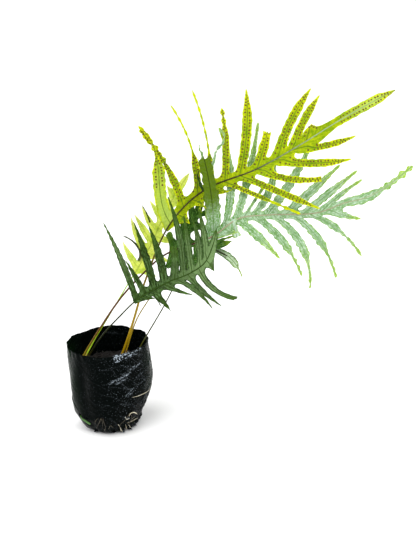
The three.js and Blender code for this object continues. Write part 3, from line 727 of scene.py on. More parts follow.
# %% Rhizome stem
RHIZOME_PATH = [
    (-62, 9, 104), (-54, 2, 106.5), (-44, -1, 107), (-25, -6, 106), (-5, 2, 107), (12, -2, 107), (26, 2, 107),
    (38, 3, 107), (50, 10, 105),
]
creeper = Spine(RHIZOME_PATH, (0, 0, 1))
stations = np.linspace(0, creeper.length, 60)
girths = [5.2 * min(1, 0.45 + min(d, creeper.length - d) / 9) + 0.3 * math.sin(d / 3) for d in stations]
rhizome = rod("rhizome_stem", [creeper.point(d) for d in stations], girths, 16)

# %% Rhizome scales
bpy.ops.object.select_all(action="DESELECT")
bpy.ops.mesh.primitive_grid_add(x_subdivisions=4, y_subdivisions=2, size=2)
scale = bpy.context.object
for vertex in scale.data.vertices:
    x, y, _ = vertex.co
    width = (1 - ((x + 1) / 2) ** 2) * 0.9 + 0.04
    vertex.co = (x, y * width, 0.25 * (x + 1) - 0.35 * (y * width) ** 2)


def scales_round(spine, start, stop, pitch, girth, size):
    placings = []
    for i in range(int((stop - start) / pitch * 7)):
        distance = start + i * pitch / 7
        origin, along, across, out = spine.at(distance)
        angle = i * 2.4 + random.uniform(-0.2, 0.2)
        radial = across * math.cos(angle) + out * math.sin(angle)
        sideways = np.cross(radial, along)
        length = size * random.uniform(0.8, 1.2)
        axes = (along, sideways, radial)
        placings.append((origin + radial * girth(distance), axes, (length, 0.55 * length, 0.5 * length)))
    return placings


def stem_girth(distance):
    return 5.2 * min(1, 0.45 + min(distance, creeper.length - distance) / 9)


scales = copies_of(scale, "rhizome_scales", scales_round(creeper, 1, creeper.length - 1, 2.4, stem_girth, 2.4))
modify(scales, "SOLIDIFY", thickness=0.0002, offset=0)

# %% Rhizome finish
# Rhizome scales, grown and then dried: golden, mottled with brown, and dull as paper
papery, shader = new_finish("papery_rhizome_scales")
place = node(papery, "TexCoord")
mottle = node(papery, "TexNoise", {"Vector": (place, "Object"), "Scale": every(2.857), "Detail": 4.0})
tone = node(papery, "ValToRGB", {0: (mottle, 0)}, stops=((0.3, "5a3a16"), (0.55, "a57c2c"), (0.75, "cfb257")))
wire(papery, tone, 0, shader, "Base Color")
shader.inputs["Roughness"].default_value = 0.7
bump = node(papery, "Bump", {"Height": (mottle, 0), "Strength": 0.5, "Distance": 0.0004})
wire(papery, bump, 0, shader, "Normal")
rhizome = join("rhizome_stem", [rhizome, scales])
hand_over(rhizome, "rhizome", papery, "rhizome")

# %% [markdown]
# ## Roots and shoot
# Roots have found the drain holes and hang down outside the film, with finer hairs beside them. A green
# shoot pokes out at the lower left.

# %% Root routes
def outside(degrees, height, away):
    angle = math.radians(degrees)
    reach = bag_radius(angle, height) + away
    return (reach * math.cos(angle), reach * math.sin(angle), height)


def drain_route(drain, aside, route):
    degrees, height = DRAINS[drain]
    angle = math.radians(degrees)
    radius = bag_radius(angle, height)
    inner = []
    for distance in (radius - 9, radius - 1):
        x = distance * math.cos(angle) - aside * math.sin(angle)
        y = distance * math.sin(angle) + aside * math.cos(angle)
        inner.append((x, y, height))
    return Spine(inner + [outside(*step) for step in route], (0, 0, 1))


ROOTS = [
    ("root_left", 1, -1.9, [(-110, 28, 2.2), (-114, 22, 2.6), (-118, 15, 3)]),
    ("root_middle", 1, 1.9, [(-103, 28, 2), (-102, 20, 2.4), (-105, 12, 3)]),
    ("root_front", 2, -1.9, [(-72, 27, 2.4), (-80, 19, 3), (-79, 10, 4), (-76, 3, 5)]),
    ("root_right", 2, 1.9, [(-59, 26, 2.2), (-64, 16, 3), (-60, 7, 4)]),
    ("root_back", 5, 0, [(72, 27, 2.2), (78, 16, 3), (74, 6, 5)]),
]
SHOOT = (0, 0, [(-141, 30, 2.5), (-134, 26, 3.5), (-127, 22, 5)])

# %% Root finish
# Fern root, grown in damp bark: cream and matt, stained in patches, dark where soil still clings
root_skin, shader = new_finish("fleshy_fern_root")
place = node(root_skin, "TexCoord")
soil = node(root_skin, "Attribute", attribute_name="soiled")
stain = node(root_skin, "TexNoise", {"Vector": (place, "Object"), "Scale": every(3.333), "Detail": 3.0})
tone = node(root_skin, "ValToRGB", {0: (stain, 0)}, stops=((0.3, "9c8f70"), (0.5, "d2cab0"), (0.75, "efebdc")))
dirty = node(root_skin, "Mix", {0: (soil, "Fac"), 6: (tone, 0), 7: linear("2b2619")}, data_type="RGBA")
wire(root_skin, dirty, 2, shader, "Base Color")
shader.inputs["Roughness"].default_value = 0.75
bump = node(root_skin, "Bump", {"Height": (stain, 0), "Strength": 0.4, "Distance": 0.0003})
wire(root_skin, bump, 0, shader, "Normal")

# %% Main roots
for name, drain, aside, route in ROOTS:
    spine = drain_route(drain, aside, route)
    runs = np.linspace(0.4, spine.length, 26)
    radii = [0.8 * mix(1, 0.45, d / spine.length) * (1 + 0.15 * math.sin(d * 1.7)) for d in runs]
    root = rod(f"{name}_strand", [spine.point(d) for d in runs], radii, 8)
    soiled = [max(0.75 * (drain == 1), ease((v.co.z / MM - 9) / 8)) for v in root.data.vertices]
    remember(root, "soiled", soiled)
    hand_over(root, "root", root_skin, name)

# %% [markdown]
# Finer roots, bits of bark and dead strands cling to the outside of the film. Each one is listed with its
# thickness, how dirty it is, and its points as degrees and height on the bag.

# %% Clinging strands
STRANDS = [
    (0.9, 0.0, [(-64, 32), (-62, 36), (-57, 36.5), (-49, 31.5), (-41, 25)]),
    (0.5, 0.0, [(-71, 33), (-68, 27.5), (-63, 27)]),
    (0.9, 0.55, [(-67, 18.5), (-57, 18), (-44, 16), (-29, 13)]),
    (0.5, 0.1, [(-58, 66), (-51, 65), (-45, 64), (-36, 63.4), (-25, 62.6), (-14, 62)]),
    (0.5, 0.1, [(-83, 21), (-80, 14), (-79, 8), (-78, 2)]),
    (0.5, 0.1, [(-70, 16), (-68, 10.5), (-66, 4), (-64, 1)]),
    (0.3, 0.85, [(-122, 21), (-116, 31), (-111, 36)]),
    (0.3, 0.85, [(-119, 16), (-111, 28), (-107, 35.5), (-106, 27), (-108, 15)]),
    (0.3, 0.8, [(-99, 13), (-95, 20), (-91, 14)]),
    (0.35, 0.7, [(-58, 22), (-52, 24), (-46, 22)]),
    (0.4, 0.3, [(60, 20), (66, 12), (64, 3)]), (0.35, 0.3, [(110, 30), (118, 20), (116, 10)]),
]


def on_film(degrees, height, away):
    """A point just off the creased film."""
    angle = math.radians(degrees)
    reach = film_relief(angle, height) + away
    return (reach * math.cos(angle), reach * math.sin(angle), height)


clinging = []
for thickness, soiled, route in STRANDS:
    spine = Spine([on_film(degrees, height, thickness + 0.4) for degrees, height in route], (0, 0, 1))
    runs = np.linspace(0, spine.length, 24)
    radii = [thickness * math.sin(math.pi * (0.12 + 0.8 * d / spine.length)) for d in runs]
    strand = rod("strand", [spine.point(d) for d in runs], radii, 6)
    remember(strand, "soiled", [soiled] * len(strand.data.vertices))
    clinging.append(strand)
hand_over(join("root_clinging_strands", clinging), "root", root_skin)

# %% Shoot
# A young shoot with tight, moist skin: plain green, streaked along, with a soft shine
leafy, shader = new_finish("young_green_shoot")
place = node(leafy, "TexCoord")
streak = node(leafy, "TexNoise", {"Vector": (place, "Object"), "Scale": every(2), "Detail": 2.0})
tone = node(leafy, "ValToRGB", {0: (streak, 0)}, stops=((0.3, "1f3f0c"), (0.7, "41741e")))
wire(leafy, tone, 0, shader, "Base Color")
shader.inputs["Roughness"].default_value = 0.45
spine = drain_route(*SHOOT)
runs = np.linspace(0.4, spine.length, 24)
radii = [mix(0.5, 1.7, ease((d - 6) / 18)) for d in runs]
hand_over(rod("shoot_blade", [spine.point(d) for d in runs], radii, 10), "shoot", leafy, "shoot")

# %% [markdown]
# ## The fronds
# Each frond is listed with its spine, the stretch of it that carries lobes, and its lobes. A lobe is
# (distance from the blade's start, length, degrees from the rachis, lean to the front, bow, width), and
# what follows says that it is cut off, thins to a thread past its waist, or sways.

# %% Frond list
# stipe: radii at foot and top. rise: which way is up in the leaf. blade: from and to along the spine. wing:
# its half width beside the rachis. end: width of the end leaf. paler_to_right: from and to in x over which the
# frond turns paler towards the right, and how much. body: share of a lobe before it tapers. thread: width of a
# thread. ruffle: height of the waves. fold: a trough.
FRONDS = {
    "fertile": {
        "stipe": (2.2, 1.5), "rise": (-0.2, 0.1, 1), "blade": (249, 576), "wing": 9, "end": (16, {}),
        "paler_to_right": (400, 470, 0.75),
        "body": 0.7, "thread": 4, "ruffle": 1.2,
        "spine": [
            (15, -4, 107), (33, -9, 148), (49, -13, 188), (75, -18, 256), (122, -16, 344), (179, -8, 392),
            (268, -4, 420), (340, 2, 452), (398, 9, 481), (439, 12, 500), (466, 14, 512), (498, 16, 525),
        ],
        "above": [
            (14, 165, 52, 10, 7, 21, {"waist": 0.6, "thread": 5, "sway": -8, "pale": (1, -0.5)}),
            (48, 143, 73, 5, 8, 13, {"waist": 0.4, "thread": 8}),
            (78, 149, 70, 0, 12, 12, {"waist": 0.4, "thread": 3}),
            (103, 156, 75, -5, 8, 11, {"waist": 0.3, "thread": 3}),
            (127, 117, 73, 5, 4, 12, {"waist": 0.7, "thread": 6}),
            (152, 138, 67, 0, 6, 16), (182, 61, 49, 0, 1, 16, {"cut": True}), (218, 123, 35, -5, -6, 15),
            (245, 97, 33, 0, -4, 13), (271, 30, 42, 4, -1, 16),
        ],
        "below": [
            (33, 24, 87, 12, 1, 9), (65, 22, 67, 12, 3, 9), (100, 32, 35, 14, -4, 8),
            (125, 132, 42, 25, 0, 8, {"waist": 0.55}), (153, 137, 41, 20, 0, 11),
            (182, 103, 34, 15, -8, 11, {"cut": True}), (213, 123, 28, 10, -6, 13), (245, 105, 18, 5, -5, 11),
        ],
    },
    "blue": {
        "stipe": (1.8, 1.4), "rise": (-0.15, 0.55, 0.85), "blade": (312, 578),
        # Painted light: the blue frond is painted paler towards its lit right side and deeper green on its shaded
        # left
        "wing": 8, "paler_to_right": (190, 330, 0.15),
        "end": (17, {"waist": 0.42, "thread": 9}), "body": 0.5, "thread": 5, "ruffle": 2,
        "spine": [
            (-55, 1, 107), (-15, -8, 166), (28, -20, 224), (66, -30, 264), (112, -38, 301), (186, -42, 324),
            (233, -28, 347), (282, -10, 344), (362, 8, 336), (409, 18, 346), (443, 24, 350), (479, 30, 364),
            (526, 38, 394),
        ],
        "above": [
            (32, 110, 64, 60, 4, 25, {"cut": True, "aged": (0.1, 0.55)}), (54, 171, 54, 0, 14, 14),
            (76, 175, 48, 0, 4, 13),
            (90, 68, 40, 4, 0, 5), (105, 127, 60, 0, 15, 14), (131, 170, 50, 0, 5, 15),
            (163, 137, 40, 0, 0, 15), (192, 128, 35, 0, 0, 13), (221, 94, 23, 0, -2, 9),
        ],
        "below": [
            (54, 24, 66, 10, -4, 10), (79, 94, 72, 10, 2, 15), (108, 124, 62, 5, 12, 15, {"waist": 0.65}),
            (141, 135, 72, 0, 21, 15, {"waist": 0.65}), (175, 125, 61, 0, 13, 14, {"waist": 0.6}),
            (204, 109, 48, 0, 10, 13, {"waist": 0.5}), (234, 57, 37, 0, -2, 12),
        ],
    },
    "pale": {
        "stipe": (1.3, 1), "rise": (-1, 0.1, 0.3), "blade": (176, 338), "wing": 8, "end": (12, {}),
        "body": 0.45, "thread": 2.4, "ruffle": 1,
        "spine": [
            (-49, 5, 107), (-21, 20, 148), (0, 30, 175), (36, 48, 222), (79, 72, 278), (116, 94, 340),
            (138, 104, 370), (160, 112, 397),
        ],
        "above": [
            (14, 52, 62, 0, -2, 11), (29, 55, 70, -8, 8, 4, {"aged": (0, 0.1)}), (44, 65, 53, 8, -4, 12),
            (62, 57, 57, 0, 0, 12),
            (82, 50, 54, 0, -2, 11), (102, 41, 54, 0, 1, 10), (128, 28, 54, 0, -1, 10), (149, 23, 64, 0, -1, 10),
        ],
        "below": [
            (12, 35, 82, 0, 0, 10), (43, 45, 84, 0, 0, 11), (74, 38, 86, 0, 0, 11), (106, 36, 80, 0, 0, 10),
            (139, 32, 68, 0, 0, 10),
        ],
    },
    "dark": {
        "stipe": (1.5, 1.2), "rise": (-0.2, 0.2, 1), "blade": (174, 344), "wing": 9, "end": (10, {}),
        "paler_to_right": (90, 190, 0.6),
        "body": 0.45, "thread": 2.4, "ruffle": 1, "fold": 0.4,
        "spine": [
            (-47, -2, 107), (-6, -24, 166), (27, -46, 204), (63, -68, 240), (111, -84, 268), (148, -90, 282),
            (173, -88, 297), (188, -78, 322), (196, -68, 346),
        ],
        "above": [
            (8, 135, 78, 0, 4, 12, {"pale": (0.1, 1)}), (27, 62, 86, 8, 1, 10), (46, 111, 78, 0, 3, 13),
            (66, 96, 78, 2, 4, 14),
            (83, 55, 66, 12, 2, 14, {"cut": True}), (99, 128, 79, -6, 6, 12),
            (114, 91, 68, 6, 0, 11), (129, 78, 62, -8, 4, 11),
            (144, 83, 42, 4, 2, 11),
        ],
        "below": [
            (18, 24, 36, 0, 0, 5), (40, 45, 75, 0, 2, 11), (64, 50, 45, 0, -2, 7), (86, 75, 57, 10, 6, 9),
            (106, 73, 69, 0, -3, 9), (126, 76, 74, 0, -10, 10, {"cut": True}), (143, 22, 110, 0, 1, 9),
        ],
    },
    "hidden": {
        "stipe": (1.2, 0.9), "rise": (-1, 0, 0.3), "blade": (179, 289), "wing": 8, "end": (12, {}),
        "body": 0.5, "thread": 2.4, "ruffle": 1,
        "spine": [
            (22, 1, 107), (51, 8, 177), (79, 12, 216), (116, 16, 271), (154, 18, 329), (169, 20, 354),
            (179, 22, 378),
        ],
        "above": [(28, 37, 46, 0, 1, 13, {"cut": True}), (63, 40, 42, 0, 2, 12), (90, 39, 38, 0, 1, 11)],
        "below": [(19, 30, 74, 0, -3, 12), (54, 35, 78, 0, -1, 13), (84, 32, 74, 0, -1, 12),
        (106, 28, 60, 0, -2, 10)],
    },
    "small": {
        "stipe": (1.2, 1), "rise": (-0.5, 0.3, 1), "blade": (181, 253), "wing": 7, "end": (11, {}),
        "body": 0.5, "thread": 2.4, "ruffle": 1.2,
        "spine": [
            (38, 2, 107), (63, -4, 148), (94, 26, 185), (137, 38, 247), (180, 38, 281), (200, 32, 288),
            (221, 26, 295),
        ],
        "above": [(11, 32, 58, 0, 0, 12), (35, 34, 56, 0, 0, 12), (57, 35, 52, 0, 0, 11)],
        "below": [(14, 25, 88, 0, 0, 10), (38, 23, 88, 0, 0, 9), (60, 73, 67, 0, 11, 13, {"pale": (0, 0.4),
        "waist": 0.75})],
    },
}
for frond in FRONDS.values():
    frond["path"] = Spine(frond["spine"], frond["rise"])
print("lobes:", sum(len(f["above"]) + len(f["below"]) for f in FRONDS.values()))

# %% [markdown]
# ### Leaf sheets
# A leaf is built as one thin sheet, in rows of points. Each lobe is a strip that starts at the rachis, where
# it fills its share of the green wing, and narrows past the wing's edge in a round notch. Every point also
# stores what the finish needs: how far it is from the edge, from the midrib and from the rachis. A bent
# plane keeps neither the measured lobes nor those distances, so the rows are worked out and made a mesh.

# %% Leaf sheet
COLUMNS = (-1, -0.85, -0.6, -0.35, -0.12, 0, 0.12, 0.35, 0.6, 0.85, 1)
WING_ROWS = (0.05, 0.3, 0.55, 0.8, 1)
NEAR_ROWS = (0.4, 1.0, 1.8, 2.8, 4.0, 5.4, 7.0, 9.0)
ROW_STEP = 2.3
LAMINA = 0.3  # half thickness in millimetres
FACTS = ("edge_mm", "rib_mm", "run_mm", "share", "tint", "aged", "pale", "half")


class Leaf:
    def __init__(self):
        self.points, self.faces, self.sites = [], [], []
        self.facts = {name: [] for name in FACTS}

    def row(self, points, facts):
        first = len(self.points)
        self.points += [tuple(p) for p in points]
        for name, values in zip(FACTS, facts):
            self.facts[name] += list(values)
        return list(range(first, first + len(points)))

    def strip(self, inner, outer, side):
        for k in range(len(inner) - 1):
            face = (inner[k], inner[k + 1], outer[k + 1], outer[k])
            self.faces.append(face if side > 0 else face[::-1])


# %% Lobe widths
def lobe_width(frond, width, share, end):
    thread = end.get("thread", frond["thread"])
    if "waist" in end:
        return mix(width, thread, ease((share - end["waist"]) / 0.16 + 0.5))
    taper = min(1, max(0, 1 - share) / (1 - frond["body"])) ** 0.8
    return max(width * (max(taper, 0.8) if end.get("cut") else taper), thread)


def fade(end, change, share):
    """How far a lobe has aged or paled at this share of its length, from 0 to 1."""
    first, last = end.get(change, (2, 3))
    return ease((share - first) / (last - first))


def paleness(frond, end, share, row):
    """Pale lobes, and the frond turning paler towards the right, which on the blue frond is painted light."""
    first, last, most = frond.get("paler_to_right", (900, 901, 0))
    paler_share = most * ease((row[len(row) // 2][0] - first) / (last - first)) * (1 - 0.7 * ease(2 * share - 1))
    return max(fade(end, "pale", share), paler_share)


def swell(run, phase, amount):
    """An uneven swelling and shrinking of the edge along the lobe."""
    return 1 + amount * (0.7 * math.sin(run / 1.9 + phase) + 0.5 * math.sin(run / 3.1 + 2.3 * phase))


def wing_width(frond, at):
    length = frond["blade"][1] - frond["blade"][0]
    return mix(3.4, frond["wing"], ease(at / 26)) * mix(1, 0.8, at / length)


# %% [markdown]
# ### One lobe
# Its middle line bows and sways as measured. Its rows first lie along the rachis and then turn square across
# the lobe. Its two edges ripple on their own, and the threads at the ends swell into beads.

# %% Lobe
def add_lobe(leaf, frond, lobe, side, before, after):
    at, length, degrees, lean, bow, width = lobe[:6]
    end = lobe[6] if len(lobe) > 6 else {}
    blade = frond["blade"][0]
    origin, along, across, out = frond["path"].at(blade + at)
    angle = math.radians(degrees)
    reach = along * length * math.cos(angle) + across * side * length * math.sin(angle)
    sideways = unit(np.cross(reach, out)) * side
    reach = reach + out * lean
    forward = unit(reach)
    facing = np.cross(sideways, forward) * side
    wing = wing_width(frond, at)
    start = wing / (length * math.sin(angle))
    tint = random.random()
    phases = (random.uniform(0, 6), random.uniform(0, 6))

    def middle(share):
        shift = 4 * bow * share * (1 - share) + 10 * end.get("sway", 0) * share * (1 - share) * (1 - 2 * share)
        return origin + reach * share + sideways * shift

    def formula(share):
        run = share * length
        turn = ease((share - start) * length / (3 * width))
        crosswise = unit(along * (1 - turn) + sideways * turn)
        square = np.linalg.norm(np.cross(crosswise, forward))
        left = (1 - share) * length
        tip = 1 if end.get("cut") else math.sqrt(min(1, max(0, left) / 7))
        half = 0.5 * lobe_width(frond, width, share, end) / square * tip
        threadlike = ease((share - end["waist"]) / 0.2) if "waist" in end else 0
        bead = mix(0.055 * frond["ruffle"], 0.5, threadlike)
        row = []
        for k in COLUMNS:
            phase = phases[k > 0] if threadlike < 0.5 else phases[0]
            edge = half * swell(run, phase, bead * abs(k)) * k
            wave = frond["ruffle"] * mix(0.3, 1, share) * math.sin(run / 1.7 + phases[k > 0]) * k * k * tip
            torn = 0.3 * half * noise.noise(Vector((k * 4, tint * 9, 0))) if end.get("cut") and left < 0.1 else 0
            trough = frond.get("fold", 0.12) * half * abs(k) ** 1.5
            point = middle(share) + crosswise * edge + facing * (wave + trough) + forward * 2 * torn
            row.append(point)
        return np.array(row), half

    rows, runs, shares, halves = [], [], [], []
    for q in WING_ROWS:
        centre = at + float((middle(q * start) - origin) @ along)
        low, high = mix(before[0], before[1], q), mix(after[0], after[1], q)
        row = []
        for k in COLUMNS:
            place = mix(centre, low if k < 0 else high, abs(k))
            base, _, rise, _ = frond["path"].at(blade + place)
            row.append(base + rise * side * q * wing_width(frond, place))
        rows.append(np.array(row))
        runs.append(q * wing)
        shares.append(q * start)
        halves.append(0.5 * (high - low) * math.sin(angle))
    root = rows[-1]
    base, _ = formula(start)
    gaps = [max(0, np.linalg.norm(root[i] - base[i])) for i in (0, -1)]
    fillets = [min(max(1.2 * gap, 3), 10) for gap in gaps]
    total = (1 - start) * length
    count = max(4, round((total - NEAR_ROWS[-1]) / ROW_STEP))
    distances = list(NEAR_ROWS) + [mix(NEAR_ROWS[-1], total, (i + 1) / count) for i in range(count)]
    for distance in [d for d in distances if d <= total + 1e-6]:
        row, half = formula(start + distance / length)
        settle_middle = 1 - ease(distance / 14)
        for i, k in enumerate(COLUMNS):
            t = min(1, distance / fillets[k > 0])
            settle = mix(settle_middle, 1 - math.sqrt(t * (2 - t)), abs(k))
            row[i] = row[i] + (root[i] - base[i]) * settle
        rows.append(row)
        runs.append(wing + distance)
        shares.append(start + distance / length)
        halves.append(half)
    record = []
    for row, run, share, half in zip(rows, runs, shares, halves):
        inside = max(0, wing - run)
        edges = [inside + half * (1 - abs(k)) for k in COLUMNS]
        ribless = 2 * (1 - ease(half / 3))
        ribs = [half * abs(k) + ribless for k in COLUMNS]
        thick = [mix(0.62, 0.34, share) if k == 0 else LAMINA for k in COLUMNS]
        same = (run, share, tint, fade(end, "aged", share), paleness(frond, end, share, row))
        same = [[value] * len(COLUMNS) for value in same]
        record.append(leaf.row(row, (edges, ribs, *same, thick)))
    for inner, outer in zip(record, record[1:]):
        leaf.strip(inner, outer, side)
    leaf.sites.append((np.array(rows), np.array(runs), np.array(halves), side))


# %% [markdown]
# ### A whole blade
# Neighbouring lobes share the line between them as far as the wing's edge, so the strips merge into one
# sheet. The end of the frond is one long leaf. The rachis is a rod that runs through the sheet.

# %% Blade
def add_side(leaf, frond, lobes, side):
    end = frond["blade"][1] - frond["blade"][0]
    starts = [lobe[0] for lobe in lobes]
    edges = [min(l[0] + wing_width(frond, l[0]) / math.tan(math.radians(l[2])), end - 4) for l in lobes]
    borders = [(0, 0)]
    borders += [(0.5 * (a + b), 0.5 * (c + d)) for a, b, c, d in zip(starts, starts[1:], edges, edges[1:])]
    borders += [(end, end)]
    for lobe, before, after in zip(lobes, borders, borders[1:]):
        add_lobe(leaf, frond, lobe, side, before, after)


def add_end(leaf, frond):
    """The leaf past the last lobes, in line with the rachis."""
    width, end = frond["end"]
    start, stop = frond["blade"][1], frond["path"].length
    wing = wing_width(frond, start - frond["blade"][0])
    shares = [-q for q in reversed(WING_ROWS)] + list(WING_ROWS)
    tint, phases = random.random(), (random.uniform(0, 6), random.uniform(0, 6))
    rows, runs, halves, record = [], [], [], []
    count = round((stop - start) / ROW_STEP)
    for i in range(count + 1):
        share = i / count
        run = share * (stop - start)
        base, _, rise, out = frond["path"].at(start + run)
        tip = math.sqrt(min(1, (1 - share) * (stop - start) / 8))
        half = mix(wing, 0.5 * lobe_width(frond, width, share, end) * tip, ease(run / 9))
        threadlike = ease((share - end["waist"]) / 0.2) if "waist" in end else 0
        bead = mix(0.055 * frond["ruffle"], 0.5, threadlike) * ease(run / 9)
        row = []
        for k in shares:
            phase = phases[k > 0 and threadlike < 0.5]
            edge = half * swell(0.75 * run, phase, bead * abs(k)) * k
            wave = frond["ruffle"] * share * math.sin(run / 1.7 + phases[k > 0]) * k * k * tip
            row.append(base + rise * edge + out * wave)
        rows.append(np.array(row))
        runs.append(run)
        halves.append(half)
        edges, ribs = [half * (1 - abs(k)) for k in shares], [half * abs(k) for k in shares]
        aged, pale = fade(end, "aged", share), paleness(frond, end, share, row)
        facts = (run, 0.15 + 0.85 * share, tint, aged, pale, LAMINA)
        record.append(leaf.row(row, (edges, ribs, *[[value] * len(shares) for value in facts])))
    for inner, outer in zip(record, record[1:]):
        leaf.strip(outer, inner, 1)
    leaf.sites.append((np.array(rows), np.array(runs), np.array(halves), 0))


def build_blade(name, frond):
    leaf = Leaf()
    add_side(leaf, frond, frond["above"], 1)
    add_side(leaf, frond, frond["below"], -1)
    add_end(leaf, frond)
    sheet = mesh_piece(f"frond_{name}_leaf", leaf.points, leaf.faces)
    for fact in FACTS[:-1]:
        remember(sheet, fact, leaf.facts[fact])
    thickest = max(leaf.facts["half"])
    group = sheet.vertex_groups.new(name="thickness")
    for i, half in enumerate(leaf.facts["half"]):
        group.add([i], half / thickest, "REPLACE")
    tidy_mesh(sheet, 2e-5, outward=False)
    modify(sheet, "SOLIDIFY", thickness=2 * thickest * MM, offset=0, vertex_group="thickness")
    path, (start, stop), top = frond["path"], frond["blade"], frond["stipe"][1]
    runs = np.linspace(start - 1, path.length - 1, 90)
    radii = []
    for d in runs:
        taper = mix(1, 0.6, min(1, (d - start) / (stop - start)))
        radii.append(top * taper * mix(1, 0.35, ease((d - stop) / (path.length - stop))))
    rachis = rod("rachis", [path.point(d) for d in runs], radii, 8)
    remember(rachis, "edge_mm", [9.0] * len(rachis.data.vertices))
    return leaf, sheet, rachis


# %% [markdown]
# ### Leaf finish
# The leaves are leathery, with a waxy grey bloom on the blue and the dark fronds. Light comes through them,
# so a translucent shader is mixed in. Side veins leave the midrib every 5 mm, with a fine net between them.

# %% Leaf finish
def blended(finish, share, under, over):
    """Mixes a colour over another. Each is (node, output) or an sRGB hex, and the share is (node, output)."""
    over = linear(over) if isinstance(over, str) else over
    made = node(finish, "Mix", {0: share, 6: under, 7: over}, data_type="RGBA")
    return (made, 2)


def leaf_finish(name, tones, glow, roughness):
    finish, shader = new_finish(name)
    place = node(finish, "TexCoord")
    fact = {f: node(finish, "Attribute", attribute_name=f) for f in FACTS[:-1]}
    # Waxy flecks about 3 mm across, which also make the bright margin ragged
    flecks = node(finish, "TexNoise", {"Vector": (place, "Object"), "Scale": every(3.03), "Detail": 4.0})
    ragged = node(finish, "Math", {0: (flecks, 0), 1: -9.0, 2: (fact["edge_mm"], "Fac")}, operation="MULTIPLY_ADD")
    margins = node(finish, "MapRange", {"Value": (ragged, 0), 1: -4.2, 2: 0.3})
    stops = ((0.0, tones["margin"]), (0.2, tones["rim"]), (0.55, tones["body"]))
    colour = (node(finish, "ValToRGB", {0: (margins, 0)}, stops=stops), 0)
    # Darker patches about 12 mm across
    patch = node(finish, "TexNoise", {"Vector": (place, "Object"), "Scale": every(12.5), "Detail": 5.0})
    spread = node(finish, "MapRange", {"Value": (patch, 0), 1: 0.46, 2: 0.6, 3: 0.0, 4: 0.85})
    colour = blended(finish, (spread, 0), colour, tones["deep"])
    # Streaks along the lobe, 1 mm wide and a few millimetres long
    lengthways = node(finish, "Math", {0: (fact["run_mm"], "Fac"), 1: 0.14}, operation="MULTIPLY")
    own = node(finish, "Math", {0: (fact["tint"], "Fac"), 1: 40.0}, operation="MULTIPLY")
    lobe_place = node(finish, "CombineXYZ", {0: (fact["rib_mm"], "Fac"), 1: (lengthways, 0), 2: (own, 0)})
    streak = node(finish, "TexNoise", {"Vector": (lobe_place, 0), "Scale": 0.75, "Detail": 3.0})
    dark_streak = node(finish, "MapRange", {"Value": (streak, 0), 1: 0.5, 2: 0.66, 3: 0.0, 4: tones["streak"]})
    colour = blended(finish, (dark_streak, 0), colour, tones["deep"])
    light_streak = node(finish, "MapRange", {"Value": (streak, 0), 1: 0.5, 2: 0.36, 3: 0.0, 4: tones["streak"]})
    colour = blended(finish, (light_streak, 0), colour, tones["wax"])
    tipped = node(finish, "MapRange", {"Value": (fact["share"], "Fac"), 1: 0.5, 2: 0.95, 3: 0.0, 4: 0.85})
    colour = blended(finish, (tipped, 0), colour, tones["tip"])
    # Wax shows where the flecks are, over a net of veins with cells of 2.5 mm
    waxy = node(finish, "MapRange", {"Value": (flecks, 0), 1: 0.5, 2: 0.64, 3: 0.0, 4: tones["wax_share"]})
    colour = blended(finish, (waxy, 0), colour, tones["wax"])
    cells = node(
        finish, "TexVoronoi", {"Vector": (place, "Object"), "Scale": every(2.5)}, feature="DISTANCE_TO_EDGE",
    )
    lines = node(finish, "MapRange", {"Value": (cells, 0), 1: 0.03, 2: 0.16, 3: tones["net_share"], 4: 0.0})
    colour = blended(finish, (lines, 0), colour, tones["vein"])
    # Side veins every 5 mm, leaning to the tip
    slope = {0: (fact["rib_mm"], "Fac"), 1: -0.55, 2: (fact["run_mm"], "Fac")}
    slant = node(finish, "Math", slope, operation="MULTIPLY_ADD")
    turns = node(finish, "Math", {0: (slant, 0), 1: 2 * math.pi / 5}, operation="MULTIPLY")
    wave = node(finish, "Math", {0: (turns, 0)}, operation="COSINE")
    veins = node(finish, "MapRange", {"Value": (wave, 0), 1: 0.9, 2: 1.0, 3: 0.0, 4: 0.4})
    colour = blended(finish, (veins, 0), colour, tones["vein"])
    # Pale lobes, and the frond paler towards the right, which on the blue frond is painted light
    inner = node(finish, "MapRange", {"Value": (ragged, 0), 1: -3.4, 2: -0.6, 3: 0.1, 4: 1.0})
    paler_share = node(finish, "Math", {0: (fact["pale"], "Fac"), 1: (inner, 0)}, operation="MULTIPLY")
    colour = blended(finish, (paler_share, 0), colour, tones["pale"])
    middle = node(finish, "MapRange", {"Value": (fact["rib_mm"], "Fac"), 1: 0.4, 2: 1.0, 3: 0.8, 4: 0.0})
    colour = blended(finish, (middle, 0), colour, tones["rib"])
    browned = node(finish, "Math", {0: (fact["aged"], "Fac"), 1: 0.96}, operation="MULTIPLY")
    colour = blended(finish, (browned, 0), colour, tones["aged"])
    dead_rib = node(finish, "Math", {0: (middle, 0), 1: (fact["aged"], "Fac")}, operation="MULTIPLY")
    colour = blended(finish, (dead_rib, 0), colour, "26300e")
    finish.node_tree.links.new(colour[0].outputs[2], shader.inputs["Base Color"])
    shader.inputs["Roughness"].default_value = roughness
    shader.inputs["Specular IOR Level"].default_value = 0.06
    # The leaf is quilted between its side veins
    quilt = node(finish, "Math", {0: (wave, 0), 1: -0.5, 2: (waxy, 0)}, operation="MULTIPLY_ADD")
    bump = node(finish, "Bump", {"Height": (quilt, 0), "Strength": 0.5, "Distance": 0.0006})
    wire(finish, bump, 0, shader, "Normal")
    through = node(finish, "BsdfTranslucent", {"Color": colour, "Normal": (bump, 0)})
    both = node(finish, "MixShader", {0: glow, 1: (shader, 0), 2: (through, 0)})
    wire(finish, both, 0, finish.node_tree.nodes["Material Output"], "Surface")
    return finish


TONES = (
    "margin", "rim", "body", "deep", "tip", "wax", "vein", "rib", "aged", "pale",
    "wax_share", "net_share", "streak",
)


def tones(*values):
    return dict(zip(TONES, values))


